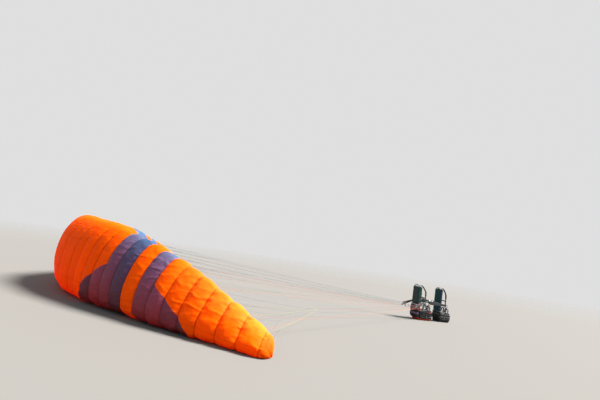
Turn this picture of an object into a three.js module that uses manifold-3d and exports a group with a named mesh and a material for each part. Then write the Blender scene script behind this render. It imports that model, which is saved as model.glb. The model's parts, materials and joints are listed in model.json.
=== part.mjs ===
// Tandem paraglider, parked with its canopy half inflated on the ground behind
// two empty harnesses. The canopy stands on its trailing edge in a horseshoe and
// its leading edge curls over towards the harnesses.
// Millimetres. +X is the way it flies, +Y the pilot's left, +Z up, z = 0 the ground.

import * as THREE from 'three';
import { mergeVertices } from 'three/addons/utils/BufferGeometryUtils.js';
import Module from 'manifold-3d';

const wasm = await Module();
wasm.setup();

// Driving dimensions
const HANG_X = 4572.5;        // pilot's hang points, forward of the part's centre
const GAP = 0.3;              // left between pieces that touch

const CELLS_A_HALF = 21;
const CELL_WIDENING = 0.35;   // cells near the tip stand wider than the gathered ones in the middle
const TIP_CELL_SHARE = 0.15;  // what the folded last cell still shows of its width
const WALL_BACK = 10070;      // from the hang points back to the foot of the middle cell
const ARM_END = 5490;         // sideways reach of the row of cells, at the outer foot
const ARM_SLOPE = 1.138;      // how steeply the arms run forward
const ARM_ROUND = 3360;       // how round the middle of the horseshoe is
const SECTION_TURN = 0.765;   // radians that the sections turn inwards towards the tip
const TIP_TURN = 0.29;        // more of that near the tip, with the cube of the share
const HEIGHT_MIDDLE = 1590;
const HEIGHT_TIP = 250;
const HEIGHT_POWER = 2.48;
const DEPTH_MIDDLE = 1500;    // unit of the profile's inward distances
const DEPTH_TIP = 580;
const BULGE_OUT = 52;         // how far a middle cell swells between its seams
const BULGE_IN = 34;

// Profile of the canopy at a seam, from the trailing edge to the leading edge: inward in
// the middle and at the tip (shares of the depth), up (share of the height), thickness (mm),
// bulge (share). The middle stands nearly upright; towards the tip the wall leans inwards.
const PROFILE = [
  [0.62, 0.62, 0.00, 12, 0.0],
  [0.32, 0.25, 0.00, 70, 0.2],
  [0.14, -0.08, 0.08, 110, 0.7],
  [0.08, -0.13, 0.30, 170, 1.0],
  [0.07, 0.00, 0.55, 200, 1.0],
  [0.11, 0.19, 0.78, 220, 1.0],
  [0.22, 0.37, 0.94, 220, 1.0],
  [0.36, 0.48, 1.00, 200, 1.0],
  [0.50, 0.62, 0.96, 160, 0.9],
  [0.59, 0.72, 0.85, 110, 0.6],
];
const LEADING = PROFILE.length - 1;

// Lines: the profile station where each row of tabs sits, and the seams it holds
const LINE_RADIUS = 1.5;
const KNOT_RADIUS = 6;
const KNOT_REACH = 0.85;      // share of a knot's radius that it reaches along X
const CASCADE = 0.72;         // how far along the lines split
const BRAKE_JOINT = 0.45;     // how far along the main brake line its fan starts
const BRAKE_CASCADE = 0.6;
const TAB_CLEAR = 0.7;        // between a line's end and the cloth that holds it
const LEAST_SLANT = 0.3;      // a line nearly along the cloth is kept as clear as this one
const LINE_SEAMS = [[1, 4, 7], [10, 12, 14], [16, 18, 20]];
const BRAKE_SEAMS = [[2, 6, 10], [13, 16, 19]];

// Hardware, as x forward of the pilot's hang points, y to the side, z up
const HOLE_Y = 250;
const PILOT_HOLE = [0, 500];
const PASSENGER_HOLE = [640, 500];
const MAIN_HOLE = [90, 590];
const RISER_HOLE = [-10, 590];
const CARABINER_BAR = 6;
const HOLE_RADIUS = 7;
const DRILL_LENGTH = 60;
const CARABINER_DROP = 85;    // between the bars of a harness carabiner
const CARABINER_HALF = 20;
const CARABINER_CORNER = 14;
const SPREADER_THICK = 10;
const SPREADER_EYE = 20;      // round of the plate about the harness holes
const SPREADER_TOP_EYE = 22;
const RISER_WIDTH = 24;
const RISER_THICK = 6;
const RISER_TAIL = 14;        // webbing past the riser's hole
const RISER_LEAN = 0.7;       // the rear riser's slant adds this beside the pulley's strap
// row name, tab station, x, y and z of the maillon
const ROWS = [
  ['a', LEADING, -520, 318, 425],
  ['b', 5, -526, 329, 382],
  ['c', 4, -532, 340, 339],
];
const MAILLON = { length: 30, half: 8, bar: 2.5 };
const PULLEY = { x: -430, z: 334, radius: 14, thick: 10, strapWide: 15, strapThick: 4, strapTop: 392 };
const TOGGLE = { x: -342, long: 116, tall: 84, web: 12, thick: 14, corner: 26 };

const PILOT = {
  name: 'pilot', hang: PILOT_HOLE, half: 200, baseBack: -235, baseFront: 165,
  rear: -350, rearTop: 470, rearLow: 130, seatFront: 212, seatTop: 300,
  backFront: -215, backRear: -325, top: 1000, strapOut: 170,
};
const PASSENGER = {
  name: 'passenger', hang: PASSENGER_HOLE, half: 190, baseBack: -150, baseFront: 185,
  rear: -188, rearTop: 330, rearLow: 110, seatFront: 232, seatTop: 280,
  backFront: -105, backRear: -178, top: 990, strapOut: 150,
};
const WEB_THICK = 6;
const WEB_WIDE = 40;
const SHOULDER_WIDE = 50;
const SHOULDER_Y = 112;
const HANG_WIDE = 32;
const STRAP_EYE = 17;         // hang strap's end above the carabiner's bar
const STRAP_DROP = 45;        // where it starts to slant in to the seat
const STRAP_FOOT = 90;
const CHEST_UP = 345;         // chest strap above the seat

// Materials
const finish = (color, roughness, metalness = 0) =>
  new THREE.MeshStandardMaterial({ color, roughness, metalness });
const ORANGE = finish(0xf5560a, 0.6);
const VIOLET = finish(0x4a3c5c, 0.6);
const LINES_GREY = finish(0x7c8796, 0.7);
const LINES_ORANGE = finish(0xd9601c, 0.7);
const WEBBING = finish(0x20242a, 0.8);
const METAL = finish(0xb9bec4, 0.35, 1);
const TEAL = finish(0x1f3a44, 0.8);
const BLACK = finish(0x17181b, 0.8);

const glider = new THREE.Group();

function place(name, geometry, material) {
  const mesh = new THREE.Mesh(geometry, material);
  mesh.name = name;
  glider.add(mesh);
}

// Closed surface through a row of rings with the same number of corners
function loft(rings, joinedUp = false) {
  const around = rings[0].length;
  const corners = rings.flat();
  const faces = [];
  const strips = joinedUp ? rings.length : rings.length - 1;
  for (let i = 0; i < strips; i += 1) {
    const next = (i + 1) % rings.length;
    for (let j = 0; j < around; j += 1) {
      const k = (j + 1) % around;
      faces.push([i * around + j, i * around + k, next * around + k]);
      faces.push([i * around + j, next * around + k, next * around + j]);
    }
  }
  if (!joinedUp) {
    faces.push(...capFaces(rings[0], 0, true));
    faces.push(...capFaces(rings[rings.length - 1], (rings.length - 1) * around, false));
  }
  let volume = 0;
  const cross = new THREE.Vector3();
  for (const [a, b, c] of faces) {
    volume += cross.crossVectors(corners[b], corners[c]).dot(corners[a]);
  }
  const index = (volume < 0 ? faces.map(([a, b, c]) => [a, c, b]) : faces).flat();
  const geometry = new THREE.BufferGeometry();
  geometry.setFromPoints(corners);
  geometry.setIndex(index);
  return geometry;
}

function capFaces(ring, start, reversed) {
  const normal = new THREE.Vector3();
  const cross = new THREE.Vector3();
  ring.forEach((p, i) => normal.add(cross.crossVectors(p, ring[(i + 1) % ring.length])));
  normal.normalize();
  const right = new THREE.Vector3().subVectors(ring[1], ring[0]).normalize();
  const up = new THREE.Vector3().crossVectors(normal, right);
  const flat = ring.map((p) => new THREE.Vector2(p.dot(right), p.dot(up)));
  return THREE.ShapeUtils.triangulateShape(flat, []).map(([a, b, c]) => {
    const area = THREE.ShapeUtils.area([flat[a], flat[b], flat[c]]);
    const face = area > 0 ? [a, b, c] : [a, c, b];
    return (reversed ? [face[0], face[2], face[1]] : face).map((i) => i + start);
  });
}

// Joining and cutting
function toSolid(geometry) {
  const bare = geometry.clone();
  bare.deleteAttribute('normal');
  bare.deleteAttribute('uv');
  const merged = mergeVertices(bare, 1e-4);
  return new wasm.Manifold(new wasm.Mesh({
    numProp: 3,
    vertProperties: new Float32Array(merged.attributes.position.array),
    triVerts: new Uint32Array(merged.index.array),
  }));
}

function fromSolid(solid) {
  const mesh = solid.getMesh();
  const geometry = new THREE.BufferGeometry();
  geometry.setAttribute('position', new THREE.BufferAttribute(new Float32Array(mesh.vertProperties), 3));
  geometry.setIndex(new THREE.BufferAttribute(new Uint32Array(mesh.triVerts), 1));
  return geometry;
}

const joined = (geometries) => fromSolid(
  geometries.map(toSolid).reduce((sum, one) => sum.add(one)));

function drilled(geometry, holes) {
  let solid = toSolid(geometry);
  for (const [x, y, z] of holes) {
    const drill = new THREE.CylinderGeometry(HOLE_RADIUS, HOLE_RADIUS, DRILL_LENGTH, 12);
    drill.translate(x, y, z);
    solid = solid.subtract(toSolid(drill));
  }
  return fromSolid(solid);
}

// Small shapes
function disc(center, direction, radius, sides) {
  const away = Math.abs(direction.z) > 0.9 ? new THREE.Vector3(1, 0, 0) : new THREE.Vector3(0, 0, 1);
  const u = new THREE.Vector3().crossVectors(direction, away).normalize();
  const v = new THREE.Vector3().crossVectors(direction, u);
  return Array.from({ length: sides }, (_, i) => {
    const angle = (2 * Math.PI * (i + 0.5)) / sides;
    return center.clone().addScaledVector(u, radius * Math.cos(angle))
      .addScaledVector(v, radius * Math.sin(angle));
  });
}

function rod(from, to, radius, sides = 4) {
  const direction = new THREE.Vector3().subVectors(to, from).normalize();
  return loft([disc(from, direction, radius, sides), disc(to, direction, radius, sides)]);
}

function knot(center, radius) {
  const ball = new THREE.IcosahedronGeometry(radius, 0);
  ball.translate(center.x, center.y, center.z);
  return ball;
}

// Flat webbing along a path; across is the direction of its width
function strap(path, across, width, thick) {
  const wide = new THREE.Vector3(...across).normalize().multiplyScalar(width / 2);
  const points = path.map((p) => new THREE.Vector3(...p));
  const rings = points.map((p, i) => {
    const before = new THREE.Vector3().subVectors(p, points[Math.max(i - 1, 0)]).normalize();
    const after = new THREE.Vector3().subVectors(points[Math.min(i + 1, points.length - 1)], p).normalize();
    const along = new THREE.Vector3().addVectors(before, after).normalize();
    const face = new THREE.Vector3().crossVectors(along, wide).normalize();
    const lean = Math.max(0.5, Math.abs(along.dot(before.lengthSq() > 0 ? before : after)));
    face.multiplyScalar(thick / 2 / lean);
    return [[1, 1], [-1, 1], [-1, -1], [1, -1]].map(([w, f]) =>
      p.clone().addScaledVector(wide, w).addScaledVector(face, f));
  });
  return loft(rings);
}

// Ring of round bar along a rounded rectangle; u and v are its two directions
function link(center, u, v, halfU, halfV, corner, bar, sides = 6, steps = 2) {
  const U = new THREE.Vector3(...u);
  const V = new THREE.Vector3(...v);
  const W = new THREE.Vector3().crossVectors(U, V);
  const rings = [];
  for (let quarter = 0; quarter < 4; quarter += 1) {
    const su = quarter === 0 || quarter === 3 ? 1 : -1;
    const sv = quarter < 2 ? 1 : -1;
    for (let i = 0; i <= steps; i += 1) {
      const angle = (Math.PI / 2) * (quarter + i / steps);
      const out = U.clone().multiplyScalar(Math.cos(angle)).addScaledVector(V, Math.sin(angle));
      const middle = new THREE.Vector3(...center)
        .addScaledVector(U, su * (halfU - corner)).addScaledVector(V, sv * (halfV - corner))
        .addScaledVector(out, corner);
      rings.push(Array.from({ length: sides }, (_, k) => {
        const turn = (2 * Math.PI * k) / sides;
        return middle.clone().addScaledVector(out, bar * Math.cos(turn))
          .addScaledVector(W, bar * Math.sin(turn));
      }));
    }
  }
  return loft(rings, true);
}

// Canopy
const footX = (y) => HANG_X - WALL_BACK
  + ARM_SLOPE * (Math.hypot(y, ARM_ROUND) - ARM_ROUND);

const FOOT_STEPS = 240;
const footLength = [0];
for (let i = 1; i <= FOOT_STEPS; i += 1) {
  const y0 = (ARM_END * (i - 1)) / FOOT_STEPS;
  const y1 = (ARM_END * i) / FOOT_STEPS;
  footLength.push(footLength[i - 1] + Math.hypot(y1 - y0, footX(y1) - footX(y0)));
}
const HALF_LENGTH = footLength[FOOT_STEPS];

// Sideways reach at a share t of the way from the middle cell to the tip
function reach(t) {
  const wanted = t * HALF_LENGTH;
  const i = Math.min(Math.max(footLength.findIndex((s) => s >= wanted), 1), FOOT_STEPS);
  const share = (wanted - footLength[i - 1]) / (footLength[i] - footLength[i - 1]);
  return (ARM_END * (i - 1 + share)) / FOOT_STEPS;
}

const cellWidths = Array.from({ length: CELLS_A_HALF }, (_, k) =>
  (1 + CELL_WIDENING * ((k + 0.5) / CELLS_A_HALF) ** 2) * (k === CELLS_A_HALF - 1 ? TIP_CELL_SHARE : 1));
const widthSum = cellWidths.reduce((a, b) => a + b);
function seamAt(k) {
  const whole = Math.floor(Math.abs(k));
  const part = Math.abs(k) - whole;
  const length = cellWidths.slice(0, whole).reduce((a, b) => a + b, 0) + part * (cellWidths[whole] ?? 0);
  return (Math.sign(k) * length) / widthSum;
}

// Section of the canopy at a signed share t of the half span (+ is left)
function section(t) {
  const far = Math.abs(t);
  const side = t < 0 ? -1 : 1;
  const turn = SECTION_TURN * far + TIP_TURN * far ** 3;
  const inward = new THREE.Vector3(Math.cos(turn), -side * Math.sin(turn), 0);
  const height = HEIGHT_TIP + (HEIGHT_MIDDLE - HEIGHT_TIP) * (1 - far ** HEIGHT_POWER);
  const depth = THREE.MathUtils.lerp(DEPTH_MIDDLE, DEPTH_TIP, far);
  const taper = 0.25 + 0.75 * (height / HEIGHT_MIDDLE);
  const y = reach(far);
  const foot = new THREE.Vector3(footX(y), side * y, 0);
  const flat = PROFILE.map(([middle, tip, up]) =>
    new THREE.Vector2(THREE.MathUtils.lerp(middle, tip, far) * depth, up * height));
  const normals = flat.map((p, i) => {
    const before = new THREE.Vector2().subVectors(p, flat[Math.max(i - 1, 0)]).normalize();
    const after = new THREE.Vector2().subVectors(flat[Math.min(i + 1, LEADING)], p).normalize();
    const along = before.add(after).normalize();
    return new THREE.Vector2(along.y, -along.x);
  });
  normals[0].set(0, 1);
  normals[1].set(0.1, 1).normalize();
  return { foot, inward, flat, normals, taper, height };
}

// Ring of corners round the section: outer skin up to the leading edge, inner skin back
function ring(t, swell, spread = 0, shrink = 1) {
  const { foot, inward, flat, normals, taper } = section(t);
  const span = new THREE.Vector3(-inward.y, inward.x, 0).multiplyScalar(t < 0 ? -1 : 1);
  const at = (p, n, distance) => {
    const across = p.x + n.x * distance;
    const up = Math.max(p.y + n.y * distance, 0);
    return foot.clone().addScaledVector(inward, across).setZ(up);
  };
  const outer = flat.map((p, i) => at(p, normals[i], -BULGE_OUT * PROFILE[i][4] * swell * taper
    * (i > 1 ? 1 : 0)));
  const inner = flat.map((p, i) => at(p, normals[i],
    (PROFILE[i][3] + BULGE_IN * PROFILE[i][4] * swell) * taper));
  const corners = [...outer, ...inner.reverse()];
  if (shrink < 1 || spread > 0) {
    const middle = new THREE.Vector3();
    corners.forEach((p) => middle.addScaledVector(p, 1 / corners.length));
    middle.setZ(0);
    corners.forEach((p) => p.sub(middle).multiplyScalar(shrink).add(middle).addScaledVector(span, spread));
  }
  return corners;
}

const END_ROUND = [[30, 0.95], [65, 0.76], [90, 0.42]];  // outward, share of the tip's section

function cells(first, last) {
  const rings = [];
  const clear = GAP / 2 / HALF_LENGTH;
  for (let k = first; k < last; k += 1) {
    const start = seamAt(k) + (k === first && Math.abs(k) < CELLS_A_HALF ? clear : 0);
    rings.push(ring(start, 0), ring(seamAt(k + 0.5), 1));
  }
  const tipped = Math.abs(last) === CELLS_A_HALF;
  rings.push(ring(seamAt(last) - (tipped ? 0 : clear), 0));
  if (tipped) END_ROUND.forEach(([spread, shrink]) => rings.push(ring(1, 0, spread, shrink)));
  return loft(rings);
}

const mirrorY = (geometry) => {
  const mirrored = geometry.clone();
  mirrored.scale(1, -1, 1);
  const index = mirrored.index.array;
  for (let i = 0; i < index.length; i += 3) [index[i + 1], index[i + 2]] = [index[i + 2], index[i + 1]];
  return mirrored;
};

// name, first seam, last seam, colour; each is built on both sides
const CELL_GROUPS = [
  ['canopy_inner', 5, 10, ORANGE],
  ['violet_pair', 10, 12, VIOLET],
  ['orange_stripe', 12, 13, ORANGE],
  ['violet_stripe', 13, 14, VIOLET],
  ['canopy_outer', 14, 18, ORANGE],
  ['wing_tip', 18, 21, ORANGE],
];

place('canopy_middle', cells(-5, 5), ORANGE);
for (const [name, first, last, colour] of CELL_GROUPS) {
  const half = cells(first, last);
  place(`${name}_left`, half, colour);
  place(`${name}_right`, mirrorY(half), colour);
}

// Suspension lines of the left half; the right half is their mirror image
const hardware = (x, y, z) => new THREE.Vector3(HANG_X + x, y, z);

// Where a line leaves the canopy at a seam, pulled towards a point
function tab(seam, station, towards) {
  const { foot, inward, flat, normals, taper } = section(seamAt(seam));
  const skin = PROFILE[station][3] * taper;
  const edge = station === 0 ? skin / 2 : skin;
  const p = flat[station].clone().addScaledVector(normals[station], edge);
  const corner = foot.clone().addScaledVector(inward, p.x).setZ(p.y);
  let face = normals[station].clone();
  if (station === 0) face.set(1, 0);
  if (station === LEADING) face.set(-normals[station].y, normals[station].x);
  const out = inward.clone().multiplyScalar(face.x).setZ(face.y);
  const pull = new THREE.Vector3().subVectors(towards, corner).normalize();
  const slant = Math.max(pull.dot(out), LEAST_SLANT);
  const clear = (LINE_RADIUS * (Math.sqrt(1 - slant ** 2) + LEAST_SLANT) + TAB_CLEAR) / slant;
  return corner.addScaledVector(pull, clear);
}

function fan(root, groups, station, split) {
  const pieces = [];
  const tabsOf = (seams, towards) => seams.map((seam) => tab(seam, station, towards));
  for (const seams of groups) {
    const ends = tabsOf(seams, root);
    const middle = new THREE.Vector3();
    ends.forEach((p) => middle.addScaledVector(p, 1 / ends.length));
    const node = root.clone().lerp(middle, split);
    pieces.push(rod(root, node, LINE_RADIUS), knot(node, KNOT_RADIUS));
    tabsOf(seams, node).forEach((end) => pieces.push(rod(node, end, LINE_RADIUS)));
  }
  return pieces;
}

function bothSides(name, geometry, material) {
  place(`${name}_left`, geometry, material);
  place(`${name}_right`, mirrorY(geometry), material);
}

const riserHole = hardware(RISER_HOLE[0], HOLE_Y, RISER_HOLE[1]);
const riserPieces = [];
for (const [row, station, x, y, z] of ROWS) {
  const strapEnd = hardware(x, y, z);
  const pull = new THREE.Vector3().subVectors(strapEnd, riserHole).normalize();
  const far = riserHole.clone().addScaledVector(pull, -RISER_TAIL);
  const across = new THREE.Vector3(-pull.z, 0, pull.x).normalize();
  riserPieces.push(strap([far.toArray(), strapEnd.toArray()], across.toArray(), RISER_WIDTH, RISER_THICK));
  const middle = strapEnd.clone().addScaledVector(pull, MAILLON.length / 2 - 1);
  riserPieces.push(link(middle.toArray(), pull.toArray(), across.toArray(),
    MAILLON.length / 2, MAILLON.half, 6, MAILLON.bar, 4, 1));
  const root = strapEnd.clone().addScaledVector(pull,
    MAILLON.length - 1 + MAILLON.bar + KNOT_RADIUS * KNOT_REACH + GAP);
  const lines = [knot(root, KNOT_RADIUS), ...fan(root, LINE_SEAMS, station, CASCADE)];
  bothSides(`${row}_lines`, joined(lines), LINES_GREY);
}
bothSides('riser', drilled(joined(riserPieces), [riserHole.toArray()]), WEBBING);

// Brake: lines, pulley hung on the outside of the rear riser, and toggle
const [, , rearX, rearY] = ROWS[2];
const rearShare = (RISER_HOLE[0] - PULLEY.x + PULLEY.strapWide / 2) / (RISER_HOLE[0] - rearX);
const brakeY = THREE.MathUtils.lerp(HOLE_Y, rearY, rearShare) + RISER_THICK / 2 + RISER_LEAN
  + GAP + PULLEY.strapThick / 2;
const brakeRoot = hardware(PULLEY.x - PULLEY.radius - KNOT_RADIUS * KNOT_REACH - GAP, brakeY, PULLEY.z);
const brakeMiddle = brakeRoot.clone().lerp(tab(BRAKE_SEAMS[0][2], 0, brakeRoot), BRAKE_JOINT);
const brakeLines = [knot(brakeRoot, KNOT_RADIUS), rod(brakeRoot, brakeMiddle, LINE_RADIUS),
  knot(brakeMiddle, KNOT_RADIUS), ...fan(brakeMiddle, BRAKE_SEAMS, 0, BRAKE_CASCADE)];
bothSides('brake_lines', joined(brakeLines), LINES_ORANGE);

const pulleyWheel = new THREE.CylinderGeometry(PULLEY.radius, PULLEY.radius, PULLEY.thick, 12);
pulleyWheel.translate(HANG_X + PULLEY.x, brakeY, PULLEY.z);
const pulleyStrap = strap([[HANG_X + PULLEY.x, brakeY, PULLEY.z],
  [HANG_X + PULLEY.x, brakeY, PULLEY.strapTop]], [1, 0, 0], PULLEY.strapWide, PULLEY.strapThick);
bothSides('brake_pulley', joined([pulleyWheel, pulleyStrap]), METAL);

function roundedRing(long, tall, corner, web) {
  const outline = (grow) => {
    const [a, b, r] = [long / 2 - grow, tall / 2 - grow, corner - grow];
    const path = new THREE.Shape();
    path.moveTo(a, -b + r);
    path.lineTo(a, b - r);
    path.absarc(a - r, b - r, r, 0, Math.PI / 2);
    path.absarc(-a + r, b - r, r, Math.PI / 2, Math.PI);
    path.absarc(-a + r, -b + r, r, Math.PI, 1.5 * Math.PI);
    path.absarc(a - r, -b + r, r, 1.5 * Math.PI, 2 * Math.PI);
    return path;
  };
  const shape = outline(0);
  shape.holes.push(outline(web));
  return shape;
}
const loop = new THREE.ExtrudeGeometry(roundedRing(TOGGLE.long, TOGGLE.tall, TOGGLE.corner, TOGGLE.web),
  { depth: TOGGLE.thick, bevelEnabled: false, curveSegments: 3 });
loop.rotateX(Math.PI / 2);
loop.translate(HANG_X + TOGGLE.x, brakeY + TOGGLE.thick / 2, PULLEY.z);
const tail = rod(hardware(PULLEY.x + PULLEY.radius + GAP, brakeY, PULLEY.z),
  hardware(TOGGLE.x - TOGGLE.long / 2 + 5, brakeY, PULLEY.z), 2.5, 6);
bothSides('brake_toggle', joined([loop, tail]), ORANGE);

// Main carabiners and spreader bars
const barX = (a, b) => HANG_X + (a + b) / 2;
bothSides('main_carabiner', link([barX(RISER_HOLE[0], MAIN_HOLE[0]), HOLE_Y, MAIN_HOLE[1]],
  [1, 0, 0], [0, 1, 0], (MAIN_HOLE[0] - RISER_HOLE[0]) / 2, CARABINER_HALF,
  CARABINER_CORNER, CARABINER_BAR), METAL);

const spreader = new THREE.Shape();
spreader.absarc(...MAIN_HOLE, SPREADER_TOP_EYE, Math.PI * 0.35, Math.PI * 0.8);
spreader.absarc(...PILOT_HOLE, SPREADER_EYE, Math.PI * 0.8, Math.PI * 1.5);
spreader.lineTo(PASSENGER_HOLE[0], PASSENGER_HOLE[1] - SPREADER_EYE);
spreader.absarc(...PASSENGER_HOLE, SPREADER_EYE, -Math.PI * 0.5, Math.PI * 0.42);
const spreaderPlate = new THREE.ExtrudeGeometry(spreader,
  { depth: SPREADER_THICK, bevelEnabled: false, curveSegments: 5 });
spreaderPlate.rotateX(Math.PI / 2);
spreaderPlate.translate(HANG_X, HOLE_Y + SPREADER_THICK / 2, 0);
const spreaderHoles = [PILOT_HOLE, PASSENGER_HOLE, MAIN_HOLE].map(([x, z]) => [HANG_X + x, HOLE_Y, z]);
bothSides('spreader_bar', drilled(spreaderPlate, spreaderHoles), METAL);

// Harnesses
// Block with rounded sides from an outline in x and z; it keeps its lowest level
function cushion(outline, half, round) {
  const xs = outline.map(([x]) => x);
  const zs = outline.map(([, z]) => z);
  const middle = (Math.min(...xs) + Math.max(...xs)) / 2;
  const low = Math.min(...zs);
  const slice = (y, share) => outline.map(([x, z]) => new THREE.Vector3(
    middle + (x - middle) * share, y, low + (z - low) * share));
  const small = 1 - round / 200;
  return loft([slice(-half, small), slice(-half + round, 1), slice(half - round, 1), slice(half, small)]);
}

function harness(h) {
  const x0 = HANG_X + h.hang[0];
  const at = (points) => points.map(([x, z]) => [x0 + x, z]);
  const seatOutline = at([
    [h.baseBack, 0], [h.baseFront, 0], [h.seatFront, 80], [h.seatFront, h.seatTop - 70],
    [h.seatFront - 45, h.seatTop], [h.backFront + 2, h.seatTop], [h.backFront, h.rearTop],
    [h.backRear, h.rearTop], [h.rear, h.rearTop - 90], [h.rear, h.rearLow],
  ]);
  place(`${h.name}_seat`, cushion(seatOutline, h.half, 24), BLACK);
  const backOutline = at([
    [h.backFront, h.rearTop + GAP], [h.backFront, h.top - 50], [h.backFront - 18, h.top],
    [h.backRear + 18, h.top], [h.backRear, h.top - 60], [h.backRear, h.rearTop + GAP],
  ]);
  place(`${h.name}_back`, cushion(backOutline, h.half - 15, 20), TEAL);

  const bottomBar = h.hang[1] - CARABINER_DROP;
  bothSides(`${h.name}_carabiner`, link([x0, HOLE_Y, h.hang[1] - CARABINER_DROP / 2],
    [0, 0, 1], [0, 1, 0], CARABINER_DROP / 2, CARABINER_HALF, CARABINER_CORNER, CARABINER_BAR), METAL);
  const beside = h.half + GAP + WEB_THICK / 2;
  const hangStrap = strap([[x0, HOLE_Y, bottomBar + STRAP_EYE], [x0, HOLE_Y, bottomBar - STRAP_DROP],
    [x0, beside, h.seatTop - 70], [x0, beside, STRAP_FOOT]], [1, 0, 0], HANG_WIDE, WEB_THICK);
  bothSides(`${h.name}_hang_strap`, drilled(hangStrap, [[x0, HOLE_Y, bottomBar]]), WEBBING);

  const lift = GAP + WEB_THICK / 2;
  const front = x0 + h.backFront + h.strapOut;
  const shoulder = [
    [x0 + h.backRear + 30, h.top + lift], [x0 + h.backFront - 16, h.top + lift],
    [x0 + h.backFront + 40, h.top - 30], [front - 18, h.top - 170], [front, h.top - 300],
    [front, h.seatTop + 260], [front - 45, h.seatTop + 110], [front - 55, h.seatTop + 50],
    [front - 55, h.seatTop + GAP],
  ];
  bothSides(`${h.name}_shoulder_strap`, strap(shoulder.map(([x, z]) => [x, SHOULDER_Y, z]),
    [0, 1, 0], SHOULDER_WIDE, WEB_THICK), WEBBING);
  const chestX = front + WEB_THICK / 2 + GAP + 2;
  const chestZ = h.seatTop + CHEST_UP;
  const chest = strap([[chestX, -SHOULDER_Y - 20, chestZ], [chestX, SHOULDER_Y + 20, chestZ]],
    [0, 0, 1], 25, 4);
  const buckle = new THREE.BoxGeometry(14, 60, 36);
  buckle.translate(chestX + 6, 0, chestZ);
  place(`${h.name}_chest_strap`, joined([chest, buckle]), WEBBING);

  const legX = x0 + h.seatFront - 95;
  const legFoot = h.seatTop + GAP;
  const leg = [[legX, 24, legFoot], [legX, 24, h.seatTop + 50], [legX, 38, h.seatTop + 100],
    [legX, 70, h.seatTop + 140], [legX, 112, h.seatTop + 140], [legX, 144, h.seatTop + 100],
    [legX, 158, h.seatTop + 50], [legX, 158, legFoot]];
  bothSides(`${h.name}_leg_strap`, strap(leg, [1, 0, 0], WEB_WIDE, WEB_THICK), WEBBING);
}

harness(PILOT);
harness(PASSENGER);

export default glider;
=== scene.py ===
"""A tandem paraglider parked with its canopy half inflated behind two empty harnesses.

Metres. +X is the way it flies, +Y the pilot's left, +Z up, z = 0 the ground.
"""

import functools
import json
import math

import bmesh
import bpy
import numpy as np
from mathutils import Matrix, Vector


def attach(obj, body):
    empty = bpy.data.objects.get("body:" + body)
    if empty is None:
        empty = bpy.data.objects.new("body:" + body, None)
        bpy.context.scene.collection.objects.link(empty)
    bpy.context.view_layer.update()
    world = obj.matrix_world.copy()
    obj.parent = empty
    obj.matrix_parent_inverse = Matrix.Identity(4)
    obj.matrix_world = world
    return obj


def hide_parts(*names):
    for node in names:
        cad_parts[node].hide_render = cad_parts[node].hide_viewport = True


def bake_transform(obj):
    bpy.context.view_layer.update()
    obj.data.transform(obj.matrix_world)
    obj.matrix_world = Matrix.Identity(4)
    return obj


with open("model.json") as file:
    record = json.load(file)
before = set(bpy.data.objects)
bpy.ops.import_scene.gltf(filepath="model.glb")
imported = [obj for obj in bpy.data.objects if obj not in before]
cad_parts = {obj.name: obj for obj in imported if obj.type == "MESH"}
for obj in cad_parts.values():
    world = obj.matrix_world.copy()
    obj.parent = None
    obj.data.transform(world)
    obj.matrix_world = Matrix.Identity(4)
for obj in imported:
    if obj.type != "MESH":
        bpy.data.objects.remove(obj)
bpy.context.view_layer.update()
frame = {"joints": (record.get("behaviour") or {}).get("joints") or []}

JOINTS = {joint["name"]: joint for joint in frame["joints"]}
HANG_X = JOINTS["pilot_swing"]["pos_m"][0]        # the pilot's hang points
PASSENGER_X = JOINTS["passenger_swing"]["pos_m"][0] - HANG_X
HANG_Z = JOINTS["pilot_swing"]["pos_m"][2]
MAIN_X = JOINTS["spreader_swing"]["pos_m"][0] - HANG_X
MAIN_Z = JOINTS["spreader_swing"]["pos_m"][2]
SIDES = ("left", "right")
FORWARD, SIDEWAYS, UPWARD = (1, 0, 0), (0, 1, 0), (0, 0, 1)

# Colours, as linear red, green and blue
ORANGE = (0.93, 0.108, 0.001)
# painted highlight: a lighter, yellower orange mixed in near the ridge towards the tips
ORANGE_PAINTED_HIGHLIGHT = (0.95, 0.225, 0.022)
# painted warm shade: a redder violet for the low chord of the upper skin
VIOLET_PAINTED_WARM_SHADE = (0.265, 0.019, 0.014)
VIOLET_HIGH = (0.148, 0.050, 0.11)
# painted sky reflection: blue-grey violet near the top of the chord
VIOLET_PAINTED_SKY_REFLECTION = (0.042, 0.085, 0.165)
VIOLET_AGED = (0.50, 0.95, 1.05)      # what an older violet cell keeps of its colour
INNER_ORANGE = (0.90, 0.11, 0.004)
RIB_WHITE = (0.34, 0.33, 0.31)
BLACK = (0.012, 0.012, 0.014)
SLATE = (0.028, 0.038, 0.038)
TEAL = (0.004, 0.048, 0.042)
BLUE = (0.006, 0.040, 0.082)
GREEN = (0.004, 0.048, 0.034)
RED = (0.30, 0.012, 0.012)
RED_ORANGE = (0.42, 0.040, 0.006)
LILAC = (0.11, 0.085, 0.15)
PALE = (0.24, 0.27, 0.28)
GREY = (0.060, 0.063, 0.066)
DUST = (0.12, 0.11, 0.09)
LINE_BLUE = (0.040, 0.075, 0.12)
LINE_GREY = (0.075, 0.08, 0.09)
LINE_ORANGE = (0.42, 0.075, 0.008)
LINE_YELLOW = (0.22, 0.27, 0.02)

# Camera: where it stands from the pilot's hang points, and how it is held
CAMERA = {
    "azimuth": 19.756, "pitch": 5.5, "roll": 8.4, "lens": 28.02,
    "left": 4.127, "away": 14.189, "height": 1.65,
}


def camera_directions():
    """Level directions ahead of the camera and to its right."""
    azimuth = math.radians(CAMERA["azimuth"])
    ahead = Vector((math.sin(azimuth), math.cos(azimuth), 0))
    return ahead, Vector((math.cos(azimuth), -math.sin(azimuth), 0))


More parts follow.
